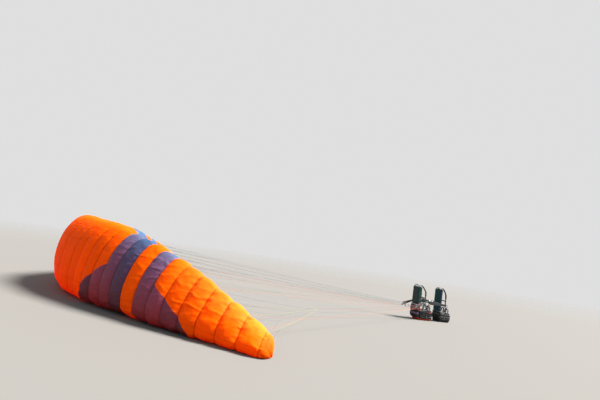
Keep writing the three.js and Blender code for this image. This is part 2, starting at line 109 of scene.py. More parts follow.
def make_camera():
    pitch, roll = math.radians(CAMERA["pitch"]), math.radians(CAMERA["roll"])
    ahead, side = camera_directions()
    up = Vector(UPWARD)
    place = Vector((HANG_X, 0, CAMERA["height"])) - CAMERA["left"] * side - CAMERA["away"] * ahead
    forward = ahead * math.cos(pitch) + up * math.sin(pitch)
    above = up * math.cos(pitch) - ahead * math.sin(pitch)
    x_axis = side * math.cos(roll) + above * math.sin(roll)
    y_axis = above * math.cos(roll) - side * math.sin(roll)
    data = bpy.data.cameras.new("Camera")
    data.lens = CAMERA["lens"]
    data.clip_end = 400
    camera = add_object("Camera", data)
    turned = Matrix((x_axis, y_axis, -forward)).transposed().to_4x4()
    turned.translation = place
    camera.matrix_world = turned
    bpy.context.scene.camera = camera


# Shader maths
class Wire:
    """An output of a material's nodes. Arithmetic on it adds Math nodes."""

    def __init__(self, tree, socket=None):
        self.tree, self.socket = tree, socket

    def node(self, kind, settings=None, values=None, output=0):
        """Adds any other node. Its settings come first, then its sockets' values or links."""
        made = self.tree.nodes.new("ShaderNode" + kind)
        for name, value in (settings or {}).items():
            setattr(made, name, value)
        for name, value in (values or {}).items():
            if isinstance(value, Wire):
                self.tree.links.new(value.socket, made.inputs[name])
            else:
                made.inputs[name].default_value = value
        return Wire(self.tree, made.outputs[output] if len(made.outputs) else None)

    def math(self, operation, *values, clamp=False):
        settings = {"operation": operation, "use_clamp": clamp}
        return self.node("Math", settings, dict(enumerate((self,) + values)))

    def __add__(self, other):
        return self.math("ADD", other)

    def __mul__(self, other):
        return self.math("MULTIPLY", other)

    def __sub__(self, other):
        return self.math("SUBTRACT", other)

    def __rsub__(self, other):
        return self.math("MULTIPLY_ADD", -1.0, other)

    def __abs__(self):
        return self.math("ABSOLUTE")

    __radd__ = __add__
    __rmul__ = __mul__

    def above(self, edge, soft):
        """0 under the edge, 1 over it, with a soft step between."""
        return self.math("MULTIPLY_ADD", 1 / soft, 0.5 - edge / soft, clamp=True)

    def line(self, width):
        """1 where this distance is under half the width."""
        return 1 - abs(self).above(width / 2, width / 3)

    def repeated(self, length):
        """0 to 1 over each length."""
        return (self * (1 / length)).math("FRACT")

    def zigzag(self, length):
        """0 to 1 and back over each length."""
        return self.repeated(length).math("PINGPONG", 0.5) * 2

    def mix(self, a, b):
        """Colour a where this is 0, b where it is 1."""
        a, b = (c if isinstance(c, Wire) else (*c, 1) for c in (a, b))
        return self.node("Mix", {"data_type": "RGBA"}, {0: self, 6: a, 7: b}, 2)

    def shaded(self, amount):
        """This colour times a number."""
        return self.node("VectorMath", {"operation": "SCALE"}, {0: self, "Scale": amount})

    def tinted(self, colour):
        """This colour times another, or this place stretched."""
        return self.node("VectorMath", {"operation": "MULTIPLY"}, {0: self, 1: colour})

    def parts(self):
        """The three numbers of a vector."""
        outputs = self.node("SeparateXYZ", None, {0: self}).socket.node.outputs
        return [Wire(self.tree, output) for output in outputs]

    def noise(self, place, scale, detail=3, rough=0.5):
        values = {"Vector": place, "Scale": scale, "Detail": detail, "Roughness": rough}
        return self.node("TexNoise", None, values)


def strongest(masks):
    return functools.reduce(lambda a, b: a.math("MAXIMUM", b), masks)


def toned(colour, times, plus=0.0):
    return tuple(min(1, c * times + plus) for c in colour)


def new_material(name):
    made = bpy.data.materials.new(name)
    made.use_nodes = True
    made.node_tree.nodes.clear()
    return made, Wire(made.node_tree)


def own_place(wire):
    return wire.node("TexCoord", None, None, "Object")


def cloth_map(wire):
    """The cloth's UV map, then its place across and along."""
    uv = wire.node("UVMap", {"uv_map": "Cloth"})
    return uv, *uv.parts()[:2]


def attribute(wire, name):
    return wire.node("Attribute", {"attribute_name": name}, None, "Fac")


def bumped(wire, height, distance):
    return wire.node("Bump", None, {"Strength": 1.0, "Distance": distance, "Height": height})


def mixed_shaders(wire, share, first, second):
    return wire.node("MixShader", None, {0: share, 1: first, 2: second})


def thin_cloth(wire, values, through, tint=(1.1, 1.1, 1.1)):
    """Principled shader that lets a share of the light through, in its own colour times a tint."""
    front = wire.node("BsdfPrincipled", None, values)
    behind = wire.node("BsdfTranslucent", None, {"Color": values["Base Color"].tinted(tint)})
    return mixed_shaders(wire, through, front, behind)


def show(wire, shader):
    wire.node("OutputMaterial", None, {"Surface": shader})


def finish(wire, values, height, distance=0.001):
    """Principled shader with these values and a bump."""
    show(wire, wire.node("BsdfPrincipled", None, {**values, "Normal": bumped(wire, height, distance)}))


# Cloth of the canopy, in metres
RIPSTOP, THREAD_SHARE = 0.006, 0.22    # distance of the cloth's thicker threads, and their width in it
PANEL_SEAMS = (0.36, 0.63, 0.87)       # cross seams of the upper skin, as shares of its chord
PANEL_SEAM_WIDTH = 0.014
TAPE_WIDTH = 0.024                     # doubled cloth along a seam
STITCH, STITCH_WIDTH, STITCH_ROW = 0.0035, 0.0016, TAPE_WIDTH * 0.32
PUCKER_STRETCH, PUCKER_HEIGHT = (0.35, 1, 1), 0.007
THREAD_HEIGHT, TAPE_HEIGHT, PANEL_SEAM_HEIGHT, STITCH_DEPTH = 0.00012, 0.0006, 0.0008, 0.0005
# edge and softness of a change of colour: along the chord, or from the middle of the span. The orange's
# change is a painted highlight; the violet's are painted warm shade low on the chord and a painted sky
# reflection near its top, then a tone by cell
HIGHLIGHT_CHORD, HIGHLIGHT_SPAN = (0.72, 0.34), (5.2, 1.6)
VIOLET_SHADE_ENDS, VIOLET_REFLECTION_STARTS, VIOLET_AGES = (0.42, 0.4), (0.76, 0.26), (0, 0.7)
ORANGE_THROUGH, ORANGE_GLOW = 0.34, (1.12, 0.62, 1.0)
VIOLET_THROUGH = 0.20


def creases(wire, place, scale, height):
    """Sharp shallow folds in thin stiff cloth."""
    ridge = abs(wire.noise(place, scale, 2, 0.4) - 0.5)
    return (1 - ridge.math("MULTIPLY_ADD", 6.0, 0.0, clamp=True)) * height


def canopy_cloth(name, orange, violet, violet_low=VIOLET_PAINTED_WARM_SHADE):
    """Coated ripstop: thread grid, crinkles, stitched seams, and painted light: a highlight on the orange,
    warm shade and a sky reflection on the violet, partly painted shade at the seams. violet is 0, 1 or the
    panels' mask.
    """
    made, wire = new_material(name)
    uv, across, along = cloth_map(wire)
    seam, chord, length, tint = (attribute(wire, part) for part in ("seam", "chord", "length", "tint"))
    fade = wire.noise(uv, 1.3, 4, 0.6)
    # doubled cloth along each seam; its darkening is partly the doubled cloth, partly painted seam shade
    doubled_and_seam_shade = 1 - seam.above(TAPE_WIDTH / 2, 0.003)
    stitches = (seam - STITCH_ROW).line(STITCH_WIDTH) * along.repeated(STITCH).above(0.3, 0.1)
    crossing = strongest(((chord - share) * length).line(PANEL_SEAM_WIDTH) for share in PANEL_SEAMS)
    threads = strongest((place.repeated(RIPSTOP) - 0.5).line(THREAD_SHARE) for place in (across, along))
    grime = wire.noise(uv, 7, 5, 0.65).above(0.66, 0.2) * (1 - chord.above(0.5, 0.4))
    bright = 0.88 + fade * 0.16 + tint * 0.12 + threads * 0.03
    # the seam's darkening here is partly painted shade
    bright = bright - doubled_and_seam_shade * 0.24 - crossing * 0.12 - grime * 0.10
    pucker = wire.noise(uv.tinted(PUCKER_STRETCH), 30, 2) * (1 - seam.above(0.035, 0.05))
    height = creases(wire, uv, 4, 0.0035) + creases(wire, uv, 13, 0.0009) + wire.noise(uv, 45, 2) * 0.0003
    height = height + pucker * PUCKER_HEIGHT + threads * THREAD_HEIGHT + doubled_and_seam_shade * TAPE_HEIGHT
    height = height + crossing * PANEL_SEAM_HEIGHT - stitches * STITCH_DEPTH
    rough = 0.46 + fade * 0.12 - threads * 0.04 + grime * 0.15
    common = {"Roughness": rough, "Normal": bumped(wire, height, 1.0)}
    shaders = []
    if violet != 1:
        # painted highlight: lighter, yellower orange near the ridge towards the tips, where the light falls
        # on it
        base = (chord.above(*HIGHLIGHT_CHORD) * abs(across).above(*HIGHLIGHT_SPAN)).mix(orange, ORANGE_PAINTED_HIGHLIGHT)
        values = {"Base Color": base.shaded(bright), "Specular IOR Level": 0.02, **common}
        shaders.append(thin_cloth(wire, values, ORANGE_THROUGH, ORANGE_GLOW))
    if violet != 0:
        # painted warm shade: redder violet low on the chord; the lower skin passes VIOLET_HIGH here, so it
        # has none
        base = chord.above(*VIOLET_SHADE_ENDS).mix(violet_low, VIOLET_HIGH)
        # painted sky reflection: blue-grey violet near the top of the chord, on both skins
        base = chord.above(*VIOLET_REFLECTION_STARTS).mix(base, VIOLET_PAINTED_SKY_REFLECTION)
        base = base.tinted(tint.above(*VIOLET_AGES).mix(VIOLET_AGED, (1, 1, 1)))
        values = {"Base Color": base.shaded(bright), "Specular IOR Level": 0.18, **common}
        shaders.append(thin_cloth(wire, values, VIOLET_THROUGH))
    if len(shaders) > 1:
        panel = attribute(wire, violet).above(0, 0.012)
        shaders = [mixed_shaders(wire, panel, *shaders)]
    show(wire, shaders[0])
    return made


def rib_cloth(name, colour):
    """Plain white cloth of the walls between the cells."""
    made, wire = new_material(name)
    place = own_place(wire)
    base = wire.noise(place, 8, 4, 0.6).mix(colour, toned(colour, 0.7))
    crease = bumped(wire, wire.noise(place, 40, 4, 0.6), 0.004)
    show(wire, thin_cloth(wire, {"Base Color": base, "Roughness": 0.6, "Normal": crease}, 0.35))
    return made


def line_sheath(name, colour):
    """Braided line: short slanted strands and a darker fleck."""
    made, wire = new_material(name)
    uv = cloth_map(wire)[0]
    turned = wire.node("Mapping", None, {0: uv, "Rotation": (0, 0, 0.7), "Scale": (700, 420, 1)})
    strands = {"Vector": turned, "Scale": 0.3, "Distortion": 0.4}
    braid = wire.node("TexWave", {"wave_type": "BANDS"}, strands, 1)
    fleck = wire.noise(uv, 90, 2)
    base = (fleck.above(0.58, 0.2) * 0.5).mix(colour, toned(colour, 0.45))
    finish(wire, {"Base Color": base, "Roughness": 0.62 + braid * 0.1}, braid, 0.0002)
    return made


def webbing(name, colour, stripe=None, stripe_at=0.3, stripe_wide=0.1):
    """Woven strap. u runs across from -1 to 1, v along in metres."""
    made, wire = new_material(name)
    uv, across, along = cloth_map(wire)
    weft = along.zigzag(0.0022)
    warp = across.zigzag(1 / 9)
    wear = wire.noise(uv, 22, 4, 0.6)
    base = (wear.above(0.62, 0.25) * 0.35).mix(colour, toned(colour, 2.2, 0.02))
    if stripe:
        base = (abs(across) - stripe_at).line(stripe_wide).mix(base, stripe)
    thread = (abs(across) - 0.84).line(0.05) * along.repeated(0.005).above(0.35, 0.1)
    base = (thread * 0.6).mix(base, toned(colour, 1.6, 0.06))
    height = weft * 0.5 + warp * 0.3 + thread * 0.6
    finish(wire, {"Base Color": base, "Roughness": 0.72 - weft * 0.1, "Sheen Weight": 0.05}, height, 0.0004)
    return made


def metal(name, colour, roughness, brushed=(1, 1, 12)):
    """Metal with fine brushing and handling marks."""
    made, wire = new_material(name)
    place = own_place(wire)
    grain = wire.noise(place.tinted(brushed), 300, 2)
    marks = wire.noise(place, 60, 5, 0.7)
    base = (marks.above(0.6, 0.2) * 0.3).mix(colour, toned(colour, 0.6))
    rough = roughness + grain * 0.1 + marks.above(0.55, 0.3) * 0.12
    finish(wire, {"Base Color": base, "Metallic": 1.0, "Roughness": rough}, grain, 0.00005)
    return made


def plastic(name, colour):
    """Moulded plastic with a fine pebble and worn corners."""
    made, wire = new_material(name)
    place = own_place(wire)
    pebble = wire.noise(place, 900, 2)
    scuff = wire.noise(place, 45, 5, 0.7).above(0.62, 0.15)
    base = (scuff * 0.4).mix(colour, toned(colour, 1, 0.08))
    finish(wire, {"Base Color": base, "Roughness": 0.42 + scuff * 0.2}, pebble, 0.00006)
    return made


def pack_cloth(name, colour, bands=(), sides=None):
    """Coarse plain weave; bands are (low, high, colour) heights, sides (start, colour) of outer panels."""
    made, wire = new_material(name)
    place = own_place(wire)
    _, sideways, up = place.parts()
    base = wire.node("RGB")
    base.socket.default_value = (*colour, 1)
    seams = []
    if sides:
        start, panel = sides
        seams.append((abs(sideways) - start).line(0.006))
        base = abs(sideways).above(start, 0.003).mix(base, panel)
        base = (seams[0] * 0.8).mix(base, BLACK)
    for low, high, band in bands:
        inside = up.above(low, 0.003) * (1 - up.above(high, 0.003))
        base = inside.mix(base, band)
        seams += [(up - edge).line(0.004) for edge in (low, high)]
    threads = {"Vector": place, "Scale": 620, "Randomness": 0.25}
    weave = wire.node("TexVoronoi", {"distance": "CHEBYCHEV"}, threads)
    dust = wire.noise(place, 9, 5, 0.65)
    worn = wire.noise(place, 70, 4, 0.7).above(0.6, 0.2)
    base = base.shaded(0.8 + dust * 0.45 - weave * 0.25)
    base = (worn * 0.05 + dust.above(0.62, 0.3) * 0.05).mix(base, DUST)
    height = wire.noise(place, 26, 4, 0.6) * 0.004 - weave * 0.0003
    if seams:
        height = height + strongest(seams) * 0.001
    values = {"Base Color": base, "Roughness": 0.8 - weave * 0.1, "Specular IOR Level": 0.2}
    finish(wire, values, height, 1.0)
    return made


def spacer_mesh(name, colour):
    """Open padded mesh cloth: rows of small holes, darkened as painted shade inside them."""
    made, wire = new_material(name)
    place = own_place(wire)
    holes = wire.node("TexVoronoi", None, {"Vector": place, "Scale": 260, "Randomness": 0.15})
    # painted shade in the mesh's holes
    dark = 1 - holes.above(0.36, 0.12)
    dust = wire.noise(place, 12, 4, 0.6)
    base = (dark * 0.75).mix(colour, toned(colour, 0.2)).shaded(0.8 + dust * 0.4)
    finish(wire, {"Base Color": base, "Roughness": 0.85, "Sheen Weight": 0.08}, holes, 0.0012)
    return made


PILOT_BANDS = ((0.335, 0.392, RED), (0.165, 0.215, LILAC), (0.0, 0.075, RED_ORANGE), (0.44, 0.47, GREY))
PASSENGER_BANDS = ((0.30, 0.322, GREY), (0.215, 0.255, GREY))
# by name, without the number that Blender adds to a name that a slot already has
FINISHES = {made.name.split(".")[0]: made for made in (
    canopy_cloth("orange_cloth", ORANGE, "violet"),
    canopy_cloth("violet_cloth", None, 1),
    canopy_cloth("orange_lower_cloth", INNER_ORANGE, 0),
    canopy_cloth("violet_lower_cloth", None, 1, VIOLET_HIGH),
    rib_cloth("rib_cloth", RIB_WHITE),
    line_sheath("blue_line", LINE_BLUE),
    line_sheath("grey_line", LINE_GREY),
    line_sheath("orange_line", LINE_ORANGE),
    line_sheath("yellow_line", LINE_YELLOW),
    line_sheath("brake_main_line", LINE_ORANGE),
    metal("polished_steel", (0.36, 0.365, 0.375), 0.24),
    metal("dark_anodised", (0.05, 0.055, 0.06), 0.34),
    metal("grey_anodised", (0.075, 0.078, 0.084), 0.36, (1, 8, 1)),
    plastic("black_plastic", (0.02, 0.02, 0.022)),
    plastic("toggle_grip", (0.03, 0.03, 0.035)),
    webbing("binding_tape", GREY),
    webbing("tab_webbing", PALE),
    webbing("riser_webbing", SLATE, LINE_BLUE, 0.0, 0.25),
    webbing("red_webbing", RED),
    webbing("stitched_webbing", (0.06, 0.065, 0.07), (0.35, 0.36, 0.38), 0.5, 0.12),
    webbing("toggle_webbing", (0.38, 0.07, 0.012)),
    webbing("harness_webbing", BLACK, GREY, 0.5, 0.06),
    webbing("pale_webbing", (0.15, 0.17, 0.175)),
    webbing("piping", (0.055, 0.062, 0.066)),
    webbing("zip_tape", (0.02, 0.02, 0.022), (0.16, 0.16, 0.17), 0.0, 0.3),
    pack_cloth("strap_pad_cloth", (0.018, 0.02, 0.024)),
    pack_cloth("pilot_shell_cloth", BLACK, ((0.0, 0.045, RED_ORANGE),)),
    pack_cloth("passenger_shell_cloth", BLACK, ((0.14, 0.17, GREY),)),
    pack_cloth("pilot_pack_cloth", BLACK, PILOT_BANDS),
    pack_cloth("passenger_pack_cloth", BLACK, PASSENGER_BANDS),
    pack_cloth("pilot_back_cloth", SLATE, ((0.955, 1.02, PALE),), (0.085, TEAL)),
    pack_cloth("passenger_back_cloth", GREEN, ((0.94, 1.02, BLACK),), (0.055, BLUE)),
    spacer_mesh("seat_mesh", (0.017, 0.018, 0.020)),
    spacer_mesh("back_mesh", (0.024, 0.026, 0.029)),
)}


# Shapes
class Shape:
    """Points, faces, corner UVs and finishes gathered for one piece."""

    def __init__(self, finish):
        self.finish = finish
        self.points, self.faces, self.uvs, self.finishes = [], [], [], []

    def add(self, points, faces, uvs=None, finish=None):
        start = len(self.points)
        self.points += [tuple(p) for p in points]
        self.faces += [tuple(i + start for i in face) for face in faces]
        self.uvs += uvs if uvs else [[(0.0, 0.0)] * len(face) for face in faces]
        self.finishes += [finish or self.finish] * len(faces)
        return self

    def mirrored(self):
        other = Shape(self.finish)
        other.points = [(x, -y, z) for x, y, z in self.points]
        other.faces = [face[::-1] for face in self.faces]
        other.uvs = [uv[::-1] for uv in self.uvs]
        other.finishes = list(self.finishes)
        return other

    def sweep(self, path, section, across=None, closed=False, finish=None):
        """A section, (across, out) points, swept along a path. across fixes where its width points."""
        path = np.asarray(path, float)
        section = np.asarray(section, float)
        count, around = len(path), len(section)
        after = np.roll(path, -1, 0) if closed else np.vstack([path[1:], path[-1:]])
        before = np.roll(path, 1, 0) if closed else np.vstack([path[:1], path[:-1]])
        tangents = unit(after - before)
        wide = np.zeros_like(path)
        if across is not None:
            wide[:] = unit(np.asarray(across, float))
        else:
            start = UPWARD if abs(tangents[0][2]) < 0.9 else FORWARD
            last = np.cross(tangents[0], start)
            for i, tangent in enumerate(tangents):
                last = unit(last - tangent * last.dot(tangent))
                wide[i] = last
        out = unit(np.cross(tangents, wide))
        points = path[:, None] + wide[:, None] * section[None, :, :1] + out[:, None] * section[None, :, 1:]
        far = lengths_along(path)
        half = np.abs(section[:, 0]).max()
        faces, uvs = [], []
        for i in range(count if closed else count - 1):
            k = (i + 1) % count
            ahead = far[k] if k else far[-1] + 0.01
            for j in range(around):
                m = (j + 1) % around
                faces.append((i * around + j, i * around + m, k * around + m, k * around + j))
                a, b = section[j, 0] / half, section[m, 0] / half
                uvs.append([(a, far[i]), (b, far[i]), (b, ahead), (a, ahead)])
        if not closed:
            for ring in (range(around), range((count - 1) * around, count * around)):
                face = tuple(ring) if ring[0] else tuple(ring)[::-1]
                faces.append(face)
                uvs.append([(section[i % around, 0] / half, 0.0) for i in face])
        flat = points.reshape(-1, 3)
        a, b, c = (flat[[face[i] for face in faces]] for i in range(3))
        if np.einsum("ij,ij", a - flat.mean(0), np.cross(b - flat.mean(0), c - flat.mean(0))) < 0:
            faces = [face[::-1] for face in faces]
            uvs = [uv[::-1] for uv in uvs]
        return self.add(flat, faces, uvs, finish)

    def rope(self, path, radius, sides=6, closed=False, finish=None):
        return self.sweep(path, circle(radius, sides), None, closed, finish)

    def strap(self, path, width, thick, across, smooth=0.02, finish=None):
        """Flat webbing with rounded edges along a smoothed path."""
        if smooth:
            path = smooth_path(path, smooth)
        return self.sweep(path, flat_section(width, thick), across, False, finish)

    def block(self, center, size, turn=None, finish=None):
        """Small rounded block: a superellipsoid."""
        around, down, power = 12, 6, 0.4
        points, faces = [], []
        for i in range(down + 1):
            lat = -math.pi / 2 + math.pi * i / down
            for j in range(around):
                lon = 2 * math.pi * j / around
                c = [signed_power(math.cos(lat), power) * signed_power(math.cos(lon), power),
                     signed_power(math.cos(lat), power) * signed_power(math.sin(lon), power),
                     signed_power(math.sin(lat), power)]
                p = Vector([c[k] * size[k] / 2 for k in range(3)])
                points.append((turn @ p if turn else p) + Vector(center))
        for i in range(down):
            for j in range(around):
                k = (j + 1) % around
                faces.append((i * around + j, i * around + k, (i + 1) * around + k, (i + 1) * around + j))
        return self.add(points, faces, None, finish)

    def piece(self, name, body, slot, replaces=(), sharp=40):
        """Makes the Blender object; sharp is the least angle of an edge that stays hard."""
        mesh = bpy.data.meshes.new(name)
        mesh.from_pydata(self.points, [], self.faces)
        layer = mesh.uv_layers.new(name="Cloth")
        layer.uv.foreach_set("vector", np.array([p for uv in self.uvs for p in uv], np.float32).ravel())
        used = list(dict.fromkeys(self.finishes))
        mesh.polygons.foreach_set("material_index", [used.index(finish) for finish in self.finishes])
        return place_piece(name, mesh, used, body, replaces, sharp)

    def pair(self, name, body, slot, replaces, sharp=40):
        """The left piece and its mirror image. A body named with {} is each side's own."""
        for side, shape in zip(SIDES, (self, self.mirrored())):
            shape.piece(f"{name}_{side}", body.format(side), slot, (f"{replaces}_{side}",), sharp)


def place_piece(name, mesh, used, body, replaces=(), sharp=40):
    """Makes a mesh a piece, with the finishes that it names. A blended piece has no body."""
    for title in used:
        mesh.materials.append(FINISHES[title])
    clean = bmesh.new()
    clean.from_mesh(mesh)
    bmesh.ops.remove_doubles(clean, verts=clean.verts, dist=1e-6)
    clean.to_mesh(mesh)
    clean.free()
    mesh.polygons.foreach_set("use_smooth", [True] * len(mesh.polygons))
    mesh.set_sharp_from_angle(angle=math.radians(sharp))
    mesh.update()
    obj = add_object(name, mesh)
    if body:
        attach(obj, body)
    if replaces:
        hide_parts(*replaces)
    return obj


def add_object(name, data):
    obj = bpy.data.objects.new(name, data)
    bpy.context.scene.collection.objects.link(obj)
    return obj


def unit(v):
    v = np.asarray(v, float)
    return v / np.maximum(np.linalg.norm(v, axis=-1, keepdims=True), 1e-9)


def signed_power(value, power):
    return math.copysign(abs(value) ** power, value)


def lengths_along(path):
    return np.r_[0, np.cumsum(np.linalg.norm(np.diff(path, axis=0), axis=1))]


def between(at, direction, *distances):
    """Points at these distances from a place."""
    at, direction = (np.asarray(v, float) for v in (at, direction))
    return [at + direction * far for far in distances]


def curve_between(p0, d0, p1, d1, t):
    """Cubic from p0 to p1 with end slopes d0 and d1."""
    return ((2 * t**3 - 3 * t**2 + 1) * p0 + (t**3 - 2 * t**2 + t) * d0
            + (3 * t**2 - 2 * t**3) * p1 + (t**3 - t**2) * d1)


def circle(radius, sides):
    angles = np.arange(sides) * 2 * math.pi / sides
    return np.stack([radius * np.cos(angles), radius * np.sin(angles)], 1)


def flat_section(width, thick):
    """Rounded rectangle, width first."""
    w, t = width / 2, thick / 2
    r = min(w, t) * 0.7
    points = []
    for cx, cy, first in ((w - r, t - r, 0), (r - w, t - r, 90), (r - w, r - t, 180), (w - r, r - t, 270)):
        for step in range(3):
            angle = math.radians(first + 45 * step)
            points.append((cx + r * math.cos(angle), cy + r * math.sin(angle)))
    return points


def smooth_path(points, step):
    """The points joined by a smooth curve, sampled about every step."""
    points = np.asarray(points, float)
    ends = np.vstack([2 * points[0] - points[1], points, 2 * points[-1] - points[-2]])
    made = []
    for i in range(1, len(ends) - 2):
        p0, p1, p2, p3 = ends[i - 1:i + 3]
        far = np.linalg.norm(p2 - p1)
        count = max(2, int(far / step))
        d1 = (p2 - p0) * min(0.5, far / max(np.linalg.norm(p2 - p0), 1e-9))
        d2 = (p3 - p1) * min(0.5, far / max(np.linalg.norm(p3 - p1), 1e-9))
        made += [curve_between(p1, d1, p2, d2, k / count) for k in range(count)]
    made.append(points[-1])
    return np.array(made)


def rounded_loop(center, u, v, half_u, half_v, corner, steps=6):
    """Closed path along a rounded rectangle in the plane of u and v."""
    center, u, v = (np.asarray(a, float) for a in (center, u, v))
    path = []
    for quarter, (su, sv) in enumerate(((1, 1), (-1, 1), (-1, -1), (1, -1))):
        for i in range(steps + 1):
            angle = math.pi / 2 * (quarter + i / steps)
            path.append(center + u * (su * (half_u - corner) + corner * math.cos(angle))
                        + v * (sv * (half_v - corner) + corner * math.sin(angle)))
    return np.array(path)


# Canopy, built on the same measures as its solids
CELLS = 21                     # in each half
CELL_WIDENING = 0.35           # cells near the tip stand wider than the gathered middle ones
TIP_CELL_SHARE = 0.15          # what the folded last cell still shows of its width
WALL_BACK = 10.07
ARM_END = 5.49
ARM_SLOPE = 1.138
ARM_ROUND = 3.36
SECTION_TURN, TIP_TURN = 0.765, 0.29
HEIGHT_MIDDLE, HEIGHT_TIP, HEIGHT_POWER = 1.59, 0.25, 2.48
DEPTH_MIDDLE, DEPTH_TIP = 1.50, 0.58
# inward in the middle and at the tip (shares of depth), up (share of height), thickness, bulge
PROFILE = np.array([
    (0.62, 0.62, 0.00, 0.012, 0.0),
    (0.32, 0.25, 0.00, 0.070, 0.2),
    (0.14, -0.08, 0.08, 0.110, 0.7),
    (0.08, -0.13, 0.30, 0.170, 1.0),
    (0.07, 0.00, 0.55, 0.200, 1.0),
    (0.11, 0.19, 0.78, 0.220, 1.0),
    (0.22, 0.37, 0.94, 0.220, 1.0),
    (0.36, 0.48, 1.00, 0.200, 1.0),
    (0.50, 0.62, 0.96, 0.160, 0.9),
    (0.59, 0.72, 0.85, 0.110, 0.6),
])
BULGE_MIDDLE, BULGE_TIP, BULGE_IN = 0.034, 0.056, 0.034
NOSE_SHARE = 0.45              # of the thickness at the leading edge: the nose's radius
ACROSS, ALONG_UPPER, ALONG_LOWER, NOSE_STEPS = 18, 200, 76, 8
TIP_STEPS, TIP_SPREAD = 10, 0.10
TIP_PLEAT, TIP_PLEAT_TURN, TIP_PLEAT_OUT = 0.014, 42, 0.6   # height, turn per metre, share sideways
UPPER_LOWEST, LOWER_LOWEST = 0.002, 0.009                   # heights of the skins where they lie down
TIP_CLOTH, NOSE_CLOTH = 0.3, 0.008     # cloth used by a closed tip, and by each step round the nose
FULLNESS_SEED, TINT_SEED = 4, 11
# wrinkles: shortest and longest wave, and height, or height in the middle and what the tip adds
SAG_WAVES, SAG_HEIGHT = (0.9, 2.4), 0.016
FOLD_WAVES, FOLD_HEIGHT = (0.24, 0.6), (0.001, 0.014)
GATHER_WAVES, GATHER_HEIGHT, GATHER_REACH = (0.05, 0.14), (0.0025, 0.010), 0.06
CRUMPLE_WAVES, CRUMPLE_HEIGHT = (0.08, 0.22), (0.00045, 0.0030)
SLUMP_WAVES, SLUMP_HEIGHT, SLUMP_REACH = (0.09, 0.2), 0.010, 0.16
FLAT_AT_SEAM = 0.012
# violet panels: seam -> chord share that their slanted edge reaches on it
VIOLET_EDGES = (
    ((7.7, 0.22), (8, 0.33), (9, 0.45), (10, 0.55)),
    ((14, 0.555), (15, 0.49), (16, 0.40), (16.7, 0.28)),
)


def waves(along, across, lengths, seed, count=14):
    """Smooth noise, mostly from -1 to 1, of waves between two lengths."""
    random = np.random.RandomState(seed)
    total = np.zeros(np.broadcast(along, across).shape)
    for _ in range(count):
        length, turn, phase = random.uniform(*lengths), random.uniform(0, math.pi), random.uniform(0, 7)
        total += np.sin((along * math.cos(turn) + across * math.sin(turn)) * 2 * math.pi / length + phase)
    return total / math.sqrt(count * 2)


def profile_at(shares):
    """Smooth curve through the profile's rows at shares of its length."""
    size = np.array([DEPTH_MIDDLE, HEIGHT_MIDDLE])
    far = lengths_along(PROFILE[:, [0, 2]] * size)
    slopes = np.gradient(PROFILE, axis=0) / np.gradient(far)[:, None]
    wanted = shares * far[-1]
    i = np.clip(np.searchsorted(far, wanted, side="right") - 1, 0, len(far) - 2)
    span = (far[i + 1] - far[i])[:, None]
    t = (wanted - far[i])[:, None] / span
    return curve_between(PROFILE[i], slopes[i] * span, PROFILE[i + 1], slopes[i + 1] * span, t)


